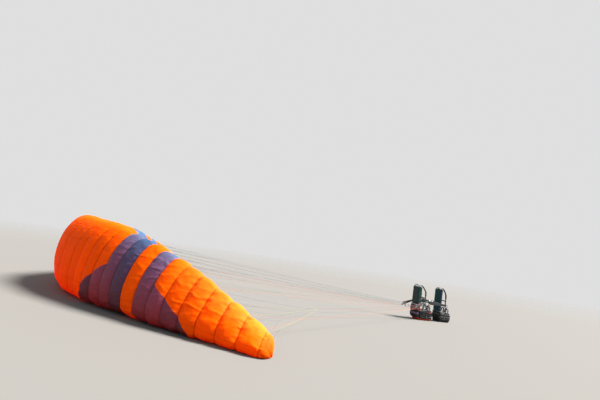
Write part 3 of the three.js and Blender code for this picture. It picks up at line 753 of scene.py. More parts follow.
class Canopy:
    """The whole canopy as two grids of points, a column for each place along the span."""

    def __init__(self):
        steps = (1 - np.cos(np.pi * np.arange(ACROSS) / ACROSS)) / 2
        cells = np.concatenate([k + steps for k in range(-CELLS, CELLS)] + [[CELLS]])
        ends = np.arange(1, TIP_STEPS + 1) / TIP_STEPS
        self.cell = np.concatenate([-CELLS - ends[::-1], cells, CELLS + ends])
        inside = np.clip(self.cell, -CELLS, CELLS)
        self.end = np.clip(np.abs(self.cell) - CELLS, 0, 1)
        widths = 1 + CELL_WIDENING * ((np.arange(CELLS) + 0.5) / CELLS) ** 2
        widths[-1] *= TIP_CELL_SHARE
        seams = np.r_[0, np.cumsum(widths)] / widths.sum()
        far = np.interp(np.abs(inside), np.arange(CELLS + 1), seams)
        sideways = np.linspace(0, ARM_END, 241)
        foot_x = HANG_X - WALL_BACK + ARM_SLOPE * (np.hypot(sideways, ARM_ROUND) - ARM_ROUND)
        length = np.r_[0, np.cumsum(np.hypot(np.diff(sideways), np.diff(foot_x)))]
        self.half_length = length[-1]
        self.far = far
        self.side = np.where(inside < 0, -1.0, 1.0)
        reach = np.interp(far * length[-1], length, sideways)
        self.foot = np.stack([np.interp(reach, sideways, foot_x), self.side * reach, 0 * reach], 1)
        turn = SECTION_TURN * far + TIP_TURN * far**3
        self.inward = np.stack([np.cos(turn), -self.side * np.sin(turn), 0 * turn], 1)
        self.height = HEIGHT_TIP + (HEIGHT_MIDDLE - HEIGHT_TIP) * (1 - far**HEIGHT_POWER)
        self.depth = DEPTH_MIDDLE + (DEPTH_TIP - DEPTH_MIDDLE) * far
        self.taper = 0.25 + 0.75 * self.height / HEIGHT_MIDDLE
        self.span = self.side * far * length[-1]
        part = np.abs(inside) % 1
        own = np.append(widths, widths[-1])[np.abs(inside).astype(int)]
        self.seam = np.minimum(part, 1 - part) * own * length[-1] / widths.sum()
        self.arch = (1 - np.abs(2 * part - 1) ** (2.6 + 0.8 * far)) * np.minimum(own / widths.mean(), 1)
        self.arch[self.end > 0] = 0
        random = np.random.RandomState(FULLNESS_SEED)
        fullness = random.uniform(0.8, 1.2, 2 * CELLS + 1)
        self.fullness = fullness[np.clip(np.floor(inside).astype(int) + CELLS, 0, 2 * CELLS)]
        self.upper_shares = np.linspace(0, 1, ALONG_UPPER)
        self.lower_shares = np.linspace(0, 1, ALONG_LOWER)
        self.upper, self.upper_length = self.skin(self.upper_shares, True)
        self.lower, self.lower_length = self.skin(self.lower_shares, False)

    def skin(self, shares, upper):
        rows = profile_at(shares)
        far = self.far[:, None]
        across = (rows[None, :, 0] * (1 - far) + rows[None, :, 1] * far) * self.depth[:, None]
        up = np.maximum(rows[None, :, 2], 0) * self.height[:, None]
        thick = rows[None, :, 3] * self.taper[:, None]
        d_across, d_up = np.gradient(across, axis=1), np.gradient(up, axis=1)
        size = np.maximum(np.hypot(d_across, d_up), 1e-9)
        n_across, n_up = d_up / size, -d_across / size
        bulge = rows[None, :, 4] * self.arch[:, None] * self.fullness[:, None]
        chord = np.cumsum(size, axis=1) - size[:, :1]
        span = np.broadcast_to(self.span[:, None], chord.shape)
        wrinkle = self.wrinkles(span, chord, rows[:, 4], up, 0 if upper else 50)
        if upper:
            swell = BULGE_MIDDLE + (BULGE_TIP - BULGE_MIDDLE) * far**1.6
            offset = -(bulge * swell * (0.45 + 0.55 * self.taper[:, None]) + wrinkle)
        else:
            offset = thick + bulge * BULGE_IN * self.taper[:, None] + wrinkle
        across, up = across + n_across * offset, up + n_up * offset
        if upper:
            # the nose: the skin rolls over towards the inside of the leading edge
            angles = np.linspace(0, math.pi / 2, NOSE_STEPS + 1)[None, 1:]
            radius = NOSE_SHARE * thick[:, -1:]
            nx, nz = n_across[:, -1:], n_up[:, -1:]
            tx, tz = -nz, nx
            roll, ahead = radius * (1 - np.cos(angles)), (radius - offset[:, -1:]) * np.sin(angles)
            lift = -offset[:, -1:] * (1 - np.cos(angles))
            across = np.hstack([across, across[:, -1:] + nx * (roll + lift) + tx * ahead])
            up = np.hstack([up, up[:, -1:] + nz * (roll + lift) + tz * ahead])
        points = self.foot[:, None] + self.inward[:, None] * across[:, :, None]
        points[:, :, 2] = np.maximum(up, UPPER_LOWEST if upper else LOWER_LOWEST)
        self.round_tips(points, chord)
        full = np.r_[shares, np.ones(points.shape[1] - len(shares))] if upper else shares
        return points, (chord[:, -1], full)

    def wrinkles(self, span, chord, bulge, up, seed):
        """Slow sag, slanted folds, gathers that start at the seams, and cloth slumped at the foot."""
        tip = self.far[:, None] ** 1.4
        fold_height, gather_height, crumple_height = (
            middle + more * tip for middle, more in (FOLD_HEIGHT, GATHER_HEIGHT, CRUMPLE_HEIGHT))
        seam = self.seam[:, None]
        sag = waves(span, chord, SAG_WAVES, seed + 1) * SAG_HEIGHT
        fold = waves(span * 0.9 + chord * 0.35, chord, FOLD_WAVES, seed + 2)
        fold = ((1 - np.minimum(np.abs(fold), 1)) ** 3 - 0.3) * fold_height
        gather = waves(span * 0.2, chord, GATHER_WAVES, seed + 3) * gather_height
        gather *= np.exp(-seam / GATHER_REACH)
        crumple = waves(span, chord, CRUMPLE_WAVES, seed + 4) * crumple_height
        slump = waves(span * 0.25, chord, SLUMP_WAVES, seed + 5) * SLUMP_HEIGHT
        slump *= np.exp(-up / SLUMP_REACH)
        total = sag + fold + (gather + crumple + slump) * (1 - np.exp(-seam / FLAT_AT_SEAM))
        return total * np.minimum(bulge * 1.4, 1)[None, :]

    def round_tips(self, points, chord):
        """Closes the tips: the end columns move outwards and shrink, with pleats."""
        for i in np.flatnonzero(self.end):
            end = self.end[i]
            first = np.flatnonzero(np.abs(self.cell) == CELLS)[0 if self.side[i] < 0 else 1]
            ring = points[first]
            middle = np.array([*ring[:, :2].mean(0), 0.0])
            shrink = max(math.cos(end * math.pi / 2) ** 0.75, 0.02)
            outward = np.array([-self.inward[i, 1], self.inward[i, 0], 0]) * self.side[i]
            pleats = TIP_PLEAT * end * np.sin(chord[i] * TIP_PLEAT_TURN + 2 * end)
            if len(pleats) < len(ring):
                pleats = np.r_[pleats, np.full(len(ring) - len(pleats), pleats[-1])]
            spread = TIP_SPREAD * math.sin(end * math.pi / 2) * (1 + 0.12 * np.sin(chord[i, 0] * 9))
            out = spread + pleats[:, None] * TIP_PLEAT_OUT
            moved = (ring - middle) * shrink + middle + outward * out
            moved[:, 2] = np.maximum(moved[:, 2] + pleats * shrink, ring[:, 2].min())
            points[i] = moved

    def columns(self, first, last):
        """Indexes of the columns between two seams; a tip's end goes with its last seam."""
        low = first if abs(first) < CELLS else -CELLS - 1
        high = last if abs(last) < CELLS else CELLS + 1
        return np.flatnonzero((self.cell >= low - 1e-9) & (self.cell <= high + 1e-9))

    def at_seam(self, seam):
        return int(np.argmin(np.abs(self.cell - seam)))


def canopy_skin(name, canopy, upper, columns, finish_name, replaces=()):
    """One group of cells of one skin, with the attributes that its cloth reads."""
    points = (canopy.upper if upper else canopy.lower)[columns]
    lengths, shares = canopy.upper_length if upper else canopy.lower_length
    count, rows = points.shape[:2]
    i, j = np.meshgrid(np.arange(count - 1), np.arange(rows - 1), indexing="ij")
    a = (i * rows + j).ravel()
    quads = np.stack([a, a + rows, a + rows + 1, a + 1], 1)
    if upper:
        quads = quads[:, ::-1]
    mesh = bpy.data.meshes.new(name)
    mesh.from_pydata(points.reshape(-1, 3).tolist(), [], quads.tolist())
    far = canopy.span[columns] + canopy.end[columns] * TIP_CLOTH
    far = np.broadcast_to(far[:, None], (count, rows))
    chord = lengths[columns][:, None] * shares[None, :]
    beyond = np.maximum(np.arange(rows) - (ALONG_UPPER if upper else ALONG_LOWER) + 1, 0) * NOSE_CLOTH
    uv = np.stack([far, chord + beyond[None, :]], 2).reshape(-1, 2)
    layer = mesh.uv_layers.new(name="Cloth")
    corners = np.zeros(len(mesh.loops), np.int32)
    mesh.loops.foreach_get("vertex_index", corners)
    layer.uv.foreach_set("vector", uv[corners].astype(np.float32).ravel())
    cell = np.abs(canopy.cell[columns])[:, None]
    violet = np.full((count, rows), -1.0)
    for edge in VIOLET_EDGES:
        seams, reached = zip(*edge)
        inside = (cell >= seams[0]) & (cell <= seams[-1])
        below = (np.interp(cell, seams, reached) - shares[None, :]) * lengths[columns][:, None]
        violet = np.where(inside, np.maximum(violet, below), violet)
    tints = np.random.RandomState(TINT_SEED).uniform(-0.5, 0.5, 2 * CELLS + 4)
    tint = tints[np.floor(canopy.cell[columns][:-1] + CELLS + 2 + 1e-6).astype(int)]
    for title, domain, values in (
        ("seam", "POINT", np.broadcast_to(canopy.seam[columns][:, None], (count, rows))),
        ("chord", "POINT", np.broadcast_to(shares[None, :], (count, rows))),
        ("length", "POINT", np.broadcast_to(lengths[columns][:, None], (count, rows))),
        ("violet", "POINT", violet),
        ("tint", "FACE", np.repeat(tint, rows - 1)),
    ):
        held = mesh.attributes.new(title, "FLOAT", domain)
        held.data.foreach_set("value", values.astype(np.float32).ravel())
    obj = place_piece(name, mesh, [finish_name], "wing", replaces, 60)
    return obj


# name, first and last seam, colour
CELL_GROUPS = (
    ("canopy_inner", 5, 10, "orange"),
    ("violet_pair", 10, 12, "violet"),
    ("orange_stripe", 12, 13, "orange"),
    ("violet_stripe", 13, 14, "violet"),
    ("canopy_outer", 14, 18, "orange"),
    ("wing_tip", 18, 21, "orange"),
)


def make_canopy(canopy):
    groups = [("canopy_middle", -5, 5, "orange")]
    for name, first, last, colour in CELL_GROUPS:
        groups += [(f"{name}_left", first, last, colour), (f"{name}_right", -last, -first, colour)]
    for name, first, last, colour in groups:
        columns, slot = canopy.columns(first, last), f"canopy_{colour}"
        canopy_skin(f"{name}_upper_skin", canopy, True, columns, f"{colour}_cloth", (name,))
        canopy_skin(f"{name}_lower_skin", canopy, False, columns, f"{colour}_lower_cloth")


RIB_FROM = 0.62     # chord share where the modelled part of each rib starts
RIB_ROWS = 6


def make_ribs(canopy):
    """Cell walls behind the open mouths of the leading edge, and the tape that binds the mouths."""
    start_upper, start_lower = (int(RIB_FROM * (rows - 1)) for rows in (ALONG_UPPER, ALONG_LOWER))
    shares = np.linspace(0, 1, RIB_ROWS)[:, None, None]
    for side, seams in (("right", range(-CELLS, 0)), ("left", range(0, CELLS + 1))):
        shape = Shape("rib_cloth")
        longs, talls = [], []
        for seam in seams:
            column = canopy.at_seam(seam)
            top = canopy.upper[column, start_upper:]
            below = canopy.lower[column, start_lower:]
            rows = len(top)
            spots = np.linspace(0, len(below) - 1, rows)
            below = np.stack([np.interp(spots, np.arange(len(below)), below[:, k]) for k in range(3)], 1)
            longs.append(lengths_along((top + below) / 2)[-1])
            talls.append(np.linalg.norm(top - below, axis=1).mean())
            faces = [(i * rows + j, i * rows + j + 1, (i + 1) * rows + j + 1, (i + 1) * rows + j)
                     for i in range(RIB_ROWS - 1) for j in range(rows - 1)]
            shape.add((top[None] * (1 - shares) + below[None] * shares).reshape(-1, 3), faces)
        ribs = shape.piece(f"ribs_{side}", "wing", "canopy_orange")
    for name, skin, row in (("mouth_upper_tape", canopy.upper, -1), ("mouth_lower_tape", canopy.lower, -1),
                            ("trailing_edge_tape", canopy.lower, 0)):
        tape = Shape("binding_tape").rope(skin[TIP_STEPS:-TIP_STEPS, row], 0.0035)
        tape.piece(name, "wing", "suspension_line")


# Lines of the left half; the profile station where each row of tabs sits
CASCADE, BRAKE_CASCADE, BRAKE_MIDDLE = 0.72, 0.6, 0.45
MAIN_LINE, SECOND_LINE, TOP_LINE = 0.0015, 0.001265, 0.0011
MAIN_SAG, SECOND_SAG, TOP_SAG, BRAKE_SAG = 0.03, 0.006, 0.004, 0.02
LINE_LOWEST, JOIN_SHARE = 0.004, 0.5
KNOT, LOOP_KNOT, LOOP_STEP, LOOP_OUT = 0.0045, 0.004, 0.004, 0.003
TAB = {"out": 0.028, "sewn": 0.012, "wide": 0.011, "thick": 0.0016}
KNOT_RADIUS, KNOT_REACH = 0.006, 0.85
GAP = 0.0003
LINE_SEAMS = (((1, 2, 4), (6, 7)), ((9, 10), (12, 13, 14)), ((16, 17), (18, 19, 20)))
BRAKE_SEAMS = (((1, 2, 4), (6, 8, 10)), ((12, 13), (15, 16)), ((18, 19), (20,)))
BRAKE_SEAM = 10
# row name, finish, tab share of the chord, place of the strap's end from the hang points
ROWS = (
    ("a", "blue_line", 1.00, (-0.520, 0.318, 0.425)),
    ("b", "grey_line", 0.66, (-0.526, 0.329, 0.382)),
    ("c", "orange_line", 0.53, (-0.532, 0.340, 0.339)),
)
RISER_HOLE = (-0.010, 0.250, 0.590)
MAILLON = {"length": 0.030, "half": 0.008, "bar": 0.0025}
PULLEY = {"x": -0.430, "z": 0.334, "radius": 0.014, "thick": 0.010, "strap_top": 0.392,
          "strap_wide": 0.015, "strap_thick": 0.004}
RISER_WIDE, RISER_THICK, RISER_LEAN = 0.024, 0.006, 0.0007
WEB_THICK, SEWN_THICK, KEEPER_THICK = 0.0035, 0.0058, 0.009
# lengths of a riser, from its hole or from the strap's end
SEWN_AT_HOLE, SEWN_AT_END, RED_BAND = (0.0525, 0.0975), (-0.070, -0.020), (0.36, 0.44)
TOGGLE = {"x": -0.342, "long": 0.116, "tall": 0.084, "web": 0.012, "thick": 0.014, "corner": 0.026,
          "grip": 0.0078, "neck_wide": 0.013, "neck_thick": 0.006, "cord": 0.0019}


def hardware(x, y, z):
    return np.array([HANG_X + x, y, z])


def brake_y():
    """Side distance of the pulley, hung outside the rear riser."""
    rear_x, rear_y, _ = ROWS[-1][-1]
    share = (RISER_HOLE[0] - PULLEY["x"] + PULLEY["strap_wide"] / 2) / (RISER_HOLE[0] - rear_x)
    y = RISER_HOLE[1] + (rear_y - RISER_HOLE[1]) * share
    return y + RISER_THICK / 2 + RISER_LEAN + GAP + PULLEY["strap_thick"] / 2


def hanging(start, end, sag, steps=12):
    """Path of a line with a little sag."""
    shares = np.linspace(0, 1, steps + 1)[:, None]
    path = start + (end - start) * shares
    path[:, 2] -= (4 * shares * (1 - shares))[:, 0] * sag
    path[:, 2] = np.maximum(path[:, 2], LINE_LOWEST)
    return path


def fan(shape, tabs, canopy, root, groups, share, split, side):
    """Lines from a root through two levels of joints to the tabs."""
    row = int(share * (ALONG_LOWER - 1))
    for pairs in groups:
        ends = [[canopy.lower[canopy.at_seam(seam * side), row] for seam in pair] for pair in pairs]
        middle = np.mean([p for pair in ends for p in pair], axis=0)
        node = root + (middle - root) * split
        shape.rope(hanging(root, node, MAIN_SAG), MAIN_LINE)
        add_knot(shape, node)
        for pair in ends:
            join = node + (np.mean(pair, axis=0) - node) * JOIN_SHARE
            shape.rope(hanging(node, join, SECOND_SAG, 4), SECOND_LINE, 5)
            for end in pair:
                pull = unit(join - end)
                tip = end + pull * TAB["out"]
                shape.rope(hanging(join, tip, TOP_SAG, 3), TOP_LINE, 5)
                across = np.cross(pull, UPWARD)
                tabs.strap([end - pull * TAB["sewn"], tip], TAB["wide"], TAB["thick"], across, 0.01)


def add_knot(shape, place, radius=KNOT):
    shape.block(place, (radius * 2.2, radius * 1.7, radius * 1.7))


def make_lines(canopy):
    for side, name in zip((1, -1), SIDES):
        flip = np.array([1, side, 1])
        tabs = Shape("tab_webbing")
        for row, finish_name, share, strap_end in ROWS:
            end = hardware(*strap_end)
            pull = unit(end - hardware(*RISER_HOLE))
            reach = MAILLON["length"] - 0.001 + MAILLON["bar"] + KNOT_RADIUS * KNOT_REACH
            root = (end + pull * reach) * flip
            shape = Shape(finish_name)
            fan(shape, tabs, canopy, root, LINE_SEAMS, share, CASCADE, side)
            for k in (-1, 0, 1):
                loop_at = root - pull * flip * LOOP_STEP * (k + 0.5)
                add_knot(shape, loop_at + np.array([0, LOOP_OUT * k * side, 0]), LOOP_KNOT)
            shape.piece(f"{row}_lines_rig_{name}", "wing", "suspension_line", (f"{row}_lines_{name}",))
        root = hardware(PULLEY["x"] - PULLEY["radius"], brake_y(), PULLEY["z"]) * flip
        middle = canopy.lower[canopy.at_seam(BRAKE_SEAM * side), 0]
        joint = root + (middle - root) * BRAKE_MIDDLE
        shape = Shape("yellow_line")
        shape.rope(hanging(root, joint, BRAKE_SAG), MAIN_LINE, finish="orange_line")
        add_knot(shape, joint)
        fan(shape, tabs, canopy, joint, BRAKE_SEAMS, 0.0, BRAKE_CASCADE, side)
        shape.piece(f"brake_lines_rig_{name}", "wing", "brake_line", (f"brake_lines_{name}",))
        tabs.piece(f"line_tabs_{name}", "wing", "suspension_line")


# Risers, pulleys, toggles, carabiners and spreader bars
def make_risers():
    hole = hardware(*RISER_HOLE)
    shape = Shape("riser_webbing")
    for row, _, _, strap_end in ROWS:
        end = hardware(*strap_end)
        pull = unit(end - hole)
        across = unit(np.array([-pull[2], 0, pull[0]]))
        out = unit(np.cross(pull, across))
        shape.strap([*between(hole, pull, -0.014, 0.25), end], RISER_WIDE, WEB_THICK, across, 0.05)
        for sewn in (between(hole, pull, *SEWN_AT_HOLE), between(end, pull, *SEWN_AT_END)):
            shape.strap(sewn, RISER_WIDE * 0.9, SEWN_THICK, across, 0.02, "stitched_webbing")
        if row == "a":
            mark = between(hole, pull, *RED_BAND)
            shape.strap(mark, RISER_WIDE * 1.08, RISER_THICK, across, 0.02, "red_webbing")
        middle = end + pull * (MAILLON["length"] / 2 - 0.001)
        ring = rounded_loop(middle, pull, across, MAILLON["length"] / 2, MAILLON["half"], 0.006)
        shape.rope(ring, MAILLON["bar"], 10, True, "polished_steel")
        sleeve = between(middle + across * MAILLON["half"], pull, -0.007, 0.007)
        shape.rope(sleeve, MAILLON["bar"] * 1.7, 6, False, "polished_steel")
        keeper = between(end - out * 0.002, pull, -0.002, 0.006)
        shape.strap(keeper, MAILLON["half"] * 2.6, KEEPER_THICK, across, 0.01, "black_plastic")
    shape.pair("riser_set", "wing", "riser_webbing", "riser", 35)


def make_pulleys():
    pulley = Shape("polished_steel")
    center = hardware(PULLEY["x"], brake_y(), PULLEY["z"])
    wheel = between(center, (0, PULLEY["thick"] / 2, 0), -0.55, 0.55)
    pulley.rope(wheel, PULLEY["radius"] * 0.78, 24)
    for s in (-1, 1):
        cheek = center + np.array([0, s * PULLEY["thick"] * 0.42, 0])
        pulley.rope(between(cheek, SIDEWAYS, -0.0008, 0.0008), PULLEY["radius"], 24)
        pulley.rope(between(cheek, SIDEWAYS, 0, s * 0.0032), PULLEY["radius"] * 0.24, 12)
    top = hardware(PULLEY["x"], brake_y(), PULLEY["strap_top"])
    wide, thick = PULLEY["strap_wide"], PULLEY["strap_thick"]
    low = center + np.array([0, 0, PULLEY["radius"] * 0.6])
    pulley.strap([low, top], wide, thick * 0.7, FORWARD, 0.01, "riser_webbing")
    sewn = between(top, UPWARD, -0.018, 0)
    pulley.strap(sewn, wide * 1.06, thick, FORWARD, 0.01, "stitched_webbing")
    pulley.pair("brake_pulley_set", "wing", "pulley", "brake_pulley", 35)


def make_toggles():
    middle = hardware(TOGGLE["x"], brake_y(), PULLEY["z"])
    shape = Shape("toggle_webbing")
    half_long, half_tall = (TOGGLE[key] / 2 - TOGGLE["web"] / 2 for key in ("long", "tall"))
    loop = rounded_loop(middle, FORWARD, UPWARD, half_long, half_tall,
                        TOGGLE["corner"] - TOGGLE["web"] / 2, 8)
    section = [(b, a) for a, b in flat_section(TOGGLE["web"] * 0.8, TOGGLE["thick"])]
    shape.sweep(loop, section, SIDEWAYS, True)
    grip = middle + np.array([half_long, 0, 0])
    grip = between(grip, (0, 0, TOGGLE["tall"] * 0.27), -1, -0.9, 0.9, 1)
    shape.rope(grip, TOGGLE["grip"], 14, False, "toggle_grip")
    neck = middle - np.array([TOGGLE["long"] / 2 - 0.004, 0, 0])
    shape.strap(between(neck, FORWARD, -0.012, 0.004), TOGGLE["neck_wide"], TOGGLE["neck_thick"], UPWARD,
                0.01, "stitched_webbing")
    shape.block(neck + np.array([0.016, 0, 0.02]), (0.012, 0.016, 0.012), None, "polished_steel")
    shape.pair("brake_handle", "brake_{}", "toggle", "brake_toggle", 50)
    start = hardware(PULLEY["x"] + PULLEY["radius"], brake_y(), PULLEY["z"])
    end = neck - np.array([0.008, 0, 0])
    cord = Shape("brake_main_line").rope(np.linspace(start, end, 9), TOGGLE["cord"], 8)
    for side, name, made in zip((1, -1), SIDES, (cord, cord.mirrored())):
        line = made.piece(f"brake_main_line_{name}", None, "brake_line")
        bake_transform(line)


def carabiner(shape, center, u, v, half_u, half_v, bar):
    """Oval bar with a gate, its pin and a screwed sleeve."""
    center, u, v = (np.asarray(a, float) for a in (center, u, v))
    shape.rope(rounded_loop(center, u, v, half_u, half_v, 0.014, 6), bar, 12, True)
    gate = center + v * half_v
    shape.rope(between(gate, u, -0.017, -0.015, 0.011, 0.013), bar * 1.45, 14, False, "dark_anodised")
    for step in range(-2, 3):
        ring = between(gate + u * (0.005 * step - 0.001), u, -0.0008, 0.0008)
        shape.rope(ring, bar * 1.58, 14, False, "dark_anodised")
    shape.rope(between(gate + u * 0.021, np.cross(u, v) * bar, -1.15, 1.15), 0.0018, 10)


CARABINER_HALF, CARABINER_BAR = 0.020, 0.006
SPREADER_THICK, SPREADER_RIM = 0.010, 0.0015
HOLE_RADIUS, BUSH_RADIUS, BUSH_RIM = 0.007, 0.0088, 0.0013
BAR_END, RISER_END = 0.020, 0.022      # radii of the plate's ends


def make_metalwork():
    main = Shape("polished_steel")
    low, high = RISER_HOLE[0], MAIN_X
    carabiner(main, hardware((low + high) / 2, RISER_HOLE[1], MAIN_Z), FORWARD, SIDEWAYS,
              (high - low) / 2, CARABINER_HALF, CARABINER_BAR)
    main.pair("main_carabiner_set", "wing", "carabiner", "main_carabiner", 35)
    spreader_plate().pair("spreader_plate", "spreaders", "spreader", "spreader_bar", 30)


def arc(center, radius, first, last, steps=10):
    """Points of an arc between two angles, in half turns."""
    return [(center[0] + radius * math.cos(a), center[1] + radius * math.sin(a))
            for a in np.linspace(first * math.pi, last * math.pi, steps)]


def spreader_plate():
    """Plate from the main hole to the pilot's and the passenger's, with rounded rims and bushes."""
    outline = arc((MAIN_X, MAIN_Z), RISER_END, 0.35, 0.8) + arc((0, HANG_Z), BAR_END, 0.8, 1.5)
    outline += arc((PASSENGER_X, HANG_Z), BAR_END, -0.5, 0.42)
    holes = [(0, HANG_Z), (PASSENGER_X, HANG_Z), (MAIN_X, MAIN_Z)]
    curve = bpy.data.curves.new("spreader_outline", "CURVE")
    curve.dimensions, curve.fill_mode = "2D", "BOTH"
    curve.extrude = SPREADER_THICK / 2 - SPREADER_RIM
    curve.bevel_depth, curve.bevel_resolution = SPREADER_RIM, 2
    curve.offset = -SPREADER_RIM
    for ring in [outline] + [arc(hole, HOLE_RADIUS, 0, 2, 25)[:-1] for hole in holes]:
        spline = curve.splines.new("POLY")
        spline.points.add(len(ring) - 1)
        spline.use_cyclic_u = True
        for point, (x, z) in zip(spline.points, ring):
            point.co = (x, z, 0, 1)
    obj = add_object("spreader_outline", curve)
    mesh = evaluated_mesh(obj)
    points = [hardware(v.co.x, RISER_HOLE[1] - v.co.z, v.co.y) for v in mesh.vertices]
    shape = Shape("grey_anodised").add(points, [tuple(p.vertices) for p in mesh.polygons])
    bpy.data.objects.remove(obj)
    bpy.data.curves.remove(curve)
    bpy.data.meshes.remove(mesh)
    for x, z in holes:
        for s in (-1, 1):
            at = hardware(x, RISER_HOLE[1] + s * (SPREADER_THICK / 2 + 0.0004), z)
            ring = rounded_loop(at, FORWARD, UPWARD, BUSH_RADIUS, BUSH_RADIUS, BUSH_RADIUS)
            shape.rope(ring, BUSH_RIM, 6, True, "dark_anodised")
    return shape


# Harnesses, as x forward of their hang points
HARNESSES = (
    {
        "name": "pilot", "hang": 0.0, "half": 0.200, "base_back": -0.235, "base_front": 0.165,
        "seat_front": 0.212, "seat_top": 0.300, "back_front": -0.215, "back_rear": -0.325,
        "rear": -0.350, "rear_low": 0.130, "rear_top": 0.470, "top": 1.000, "strap_out": 0.170,
        "rear_corner": 0.024, "back_corner": 0.018, "reserve_handle": True,
    },
    {
        "name": "passenger", "hang": PASSENGER_X, "half": 0.190, "base_back": -0.150,
        "base_front": 0.185, "seat_front": 0.232, "seat_top": 0.280, "back_front": -0.105,
        "back_rear": -0.178, "rear": -0.188, "rear_low": 0.110, "rear_top": 0.330, "top": 0.990,
        "strap_out": 0.150, "rear_corner": 0.012, "back_corner": 0.012, "reserve_handle": False,
    },
)
CARABINER_DROP = 0.085
SHOULDER_Y = 0.112
VOXEL = 0.012
ALONG_X, ALONG_Y, ALONG_Z = 0, 1, 2


def soft_parts(h):
    """The soft parts: outlines in x and z, and grooves as direction, places, depth, width and offset."""
    top, low, high = h["seat_top"], h["rear_top"], h["top"]
    front, back, rear, base = h["seat_front"], h["back_front"], h["back_rear"], h["base_back"]
    levels = [h["rear_low"] + (low - h["rear_low"]) * share for share in (0.30, 0.62)]
    return (
        {
            "part": "seat_shell", "finish": f"{h['name']}_shell_cloth", "slot": "seat_cloth",
            "replaces": "seat", "fill": 0.7, "narrower": 0.010, "corner": 0.020, "voxel": VOXEL,
            "swell": 0.008, "lowest": 0.0,
            "outline": ((base, 0.004), (h["base_front"], 0.004), (front - 0.006, 0.080),
                        (front - 0.006, top - 0.085), (front - 0.04, top - 0.036),
                        (back - 0.005, top - 0.036), (back - 0.010, low - 0.01), (base - 0.03, low - 0.01)),
            "grooves": ((ALONG_Y, (-h["half"] * 0.97, h["half"] * 0.97), 0.002, 0.006, 0.004),
                        (ALONG_Z, (top * 0.62,), 0.004, 0.007, 0)),
        },
        {
            "part": "seat_cushion", "finish": "seat_mesh", "slot": "seat_cloth", "fill": 0.5,
            "narrower": 0.022, "corner": 0.012, "voxel": VOXEL * 0.8, "swell": 0.007,
            "outline": ((back + 0.006, top - 0.040), (front - 0.020, top - 0.046),
                        (front - 0.008, top - 0.030), (front - 0.030, top - 0.006),
                        (back + 0.010, top - 0.004)),
            "grooves": ((ALONG_Y, (-h["half"] / 2, 0, h["half"] / 2), 0.006, 0.008, 0),
                        (ALONG_X, (0.05,), 0.005, 0.008, 0)),
        },
        {
            "part": "rear_container", "finish": f"{h['name']}_pack_cloth", "slot": "seat_cloth",
            "fill": 0.8, "narrower": 0.014, "corner": h["rear_corner"], "voxel": VOXEL,
            "swell": 0.014, "lowest": 0.004,
            "outline": ((base + 0.005, 0.030), (h["rear"] + 0.05, 0.060), (h["rear"] + 0.010, h["rear_low"]),
                        (h["rear"] + 0.008, low - 0.10), (h["rear"] + 0.035, low - 0.025),
                        (base - 0.012, low - 0.020)),
            "grooves": ((ALONG_Z, levels, 0.007, 0.007, 0),),
        },
        {
            "part": "back_shell", "finish": f"{h['name']}_back_cloth", "slot": "back_cloth",
            "replaces": "back", "fill": 0.7, "narrower": 0.022, "corner": h["back_corner"],
            "voxel": VOXEL, "swell": 0.010,
            "outline": ((back - 0.022, low - 0.030), (back - 0.022, high - 0.05),
                        (back - 0.035, high - 0.006), (rear + 0.03, high - 0.006),
                        (rear + 0.007, high - 0.07), (rear + 0.010, low + 0.010),
                        (rear + 0.030, low - 0.030)),
            "grooves": ((ALONG_Z, [(high + low) / 2 + s * 0.12 for s in (-1, 1)], 0.005, 0.007, 0),),
        },
        {
            "part": "back_pad", "finish": "back_mesh", "slot": "back_cloth", "fill": 0.5,
            "narrower": 0.035, "corner": 0.008, "voxel": VOXEL * 0.7, "swell": 0.006,
            "outline": ((back - 0.004, low + 0.012), (back - 0.004, high - 0.06),
                        (back - 0.014, high - 0.03), (back - 0.030, high - 0.03),
                        (back - 0.030, low + 0.012)),
            "grooves": ((ALONG_Z, [low + (high - low) * step / 6 for step in range(1, 6)], 0.005, 0.009, 0),
                        (ALONG_Y, (0,), 0.004, 0.010, 0)),
        },
    )


def soft_block(name, outline, half, corner, voxel):
    """Closed mesh with rounded rims from an outline in x and z."""
    made = bmesh.new()
    ring = [made.verts.new((x, -half, z)) for x, z in outline]
    face = made.faces.new(ring)
    grown = bmesh.ops.extrude_face_region(made, geom=[face])
    verts = [g for g in grown["geom"] if isinstance(g, bmesh.types.BMVert)]
    bmesh.ops.translate(made, verts=verts, vec=(0, 2 * half, 0))
    bmesh.ops.recalc_face_normals(made, faces=made.faces)
    bmesh.ops.bevel(made, geom=list(made.edges), offset=corner, segments=4, profile=0.5, affect="EDGES",
                    clamp_overlap=True)
    mesh = bpy.data.meshes.new(name)
    made.to_mesh(mesh)
    made.free()
    obj = add_object(name, mesh)
    remesh = obj.modifiers.new("Remesh", "REMESH")
    remesh.mode, remesh.voxel_size = "VOXEL", voxel
    apply_modifiers(obj)
    return obj


def evaluated_mesh(obj):
    return bpy.data.meshes.new_from_object(obj.evaluated_get(bpy.context.evaluated_depsgraph_get()))


def apply_modifiers(obj):
    made, old = evaluated_mesh(obj), obj.data
    obj.modifiers.clear()
    obj.data = made
    bpy.data.meshes.remove(old)


def coordinates(obj):
    co = np.zeros(len(obj.data.vertices) * 3, np.float32)
    obj.data.vertices.foreach_get("co", co)
    return co.reshape(-1, 3).astype(float)


def set_coordinates(obj, co):
    obj.data.vertices.foreach_set("co", co.astype(np.float32).ravel())
    obj.data.update()


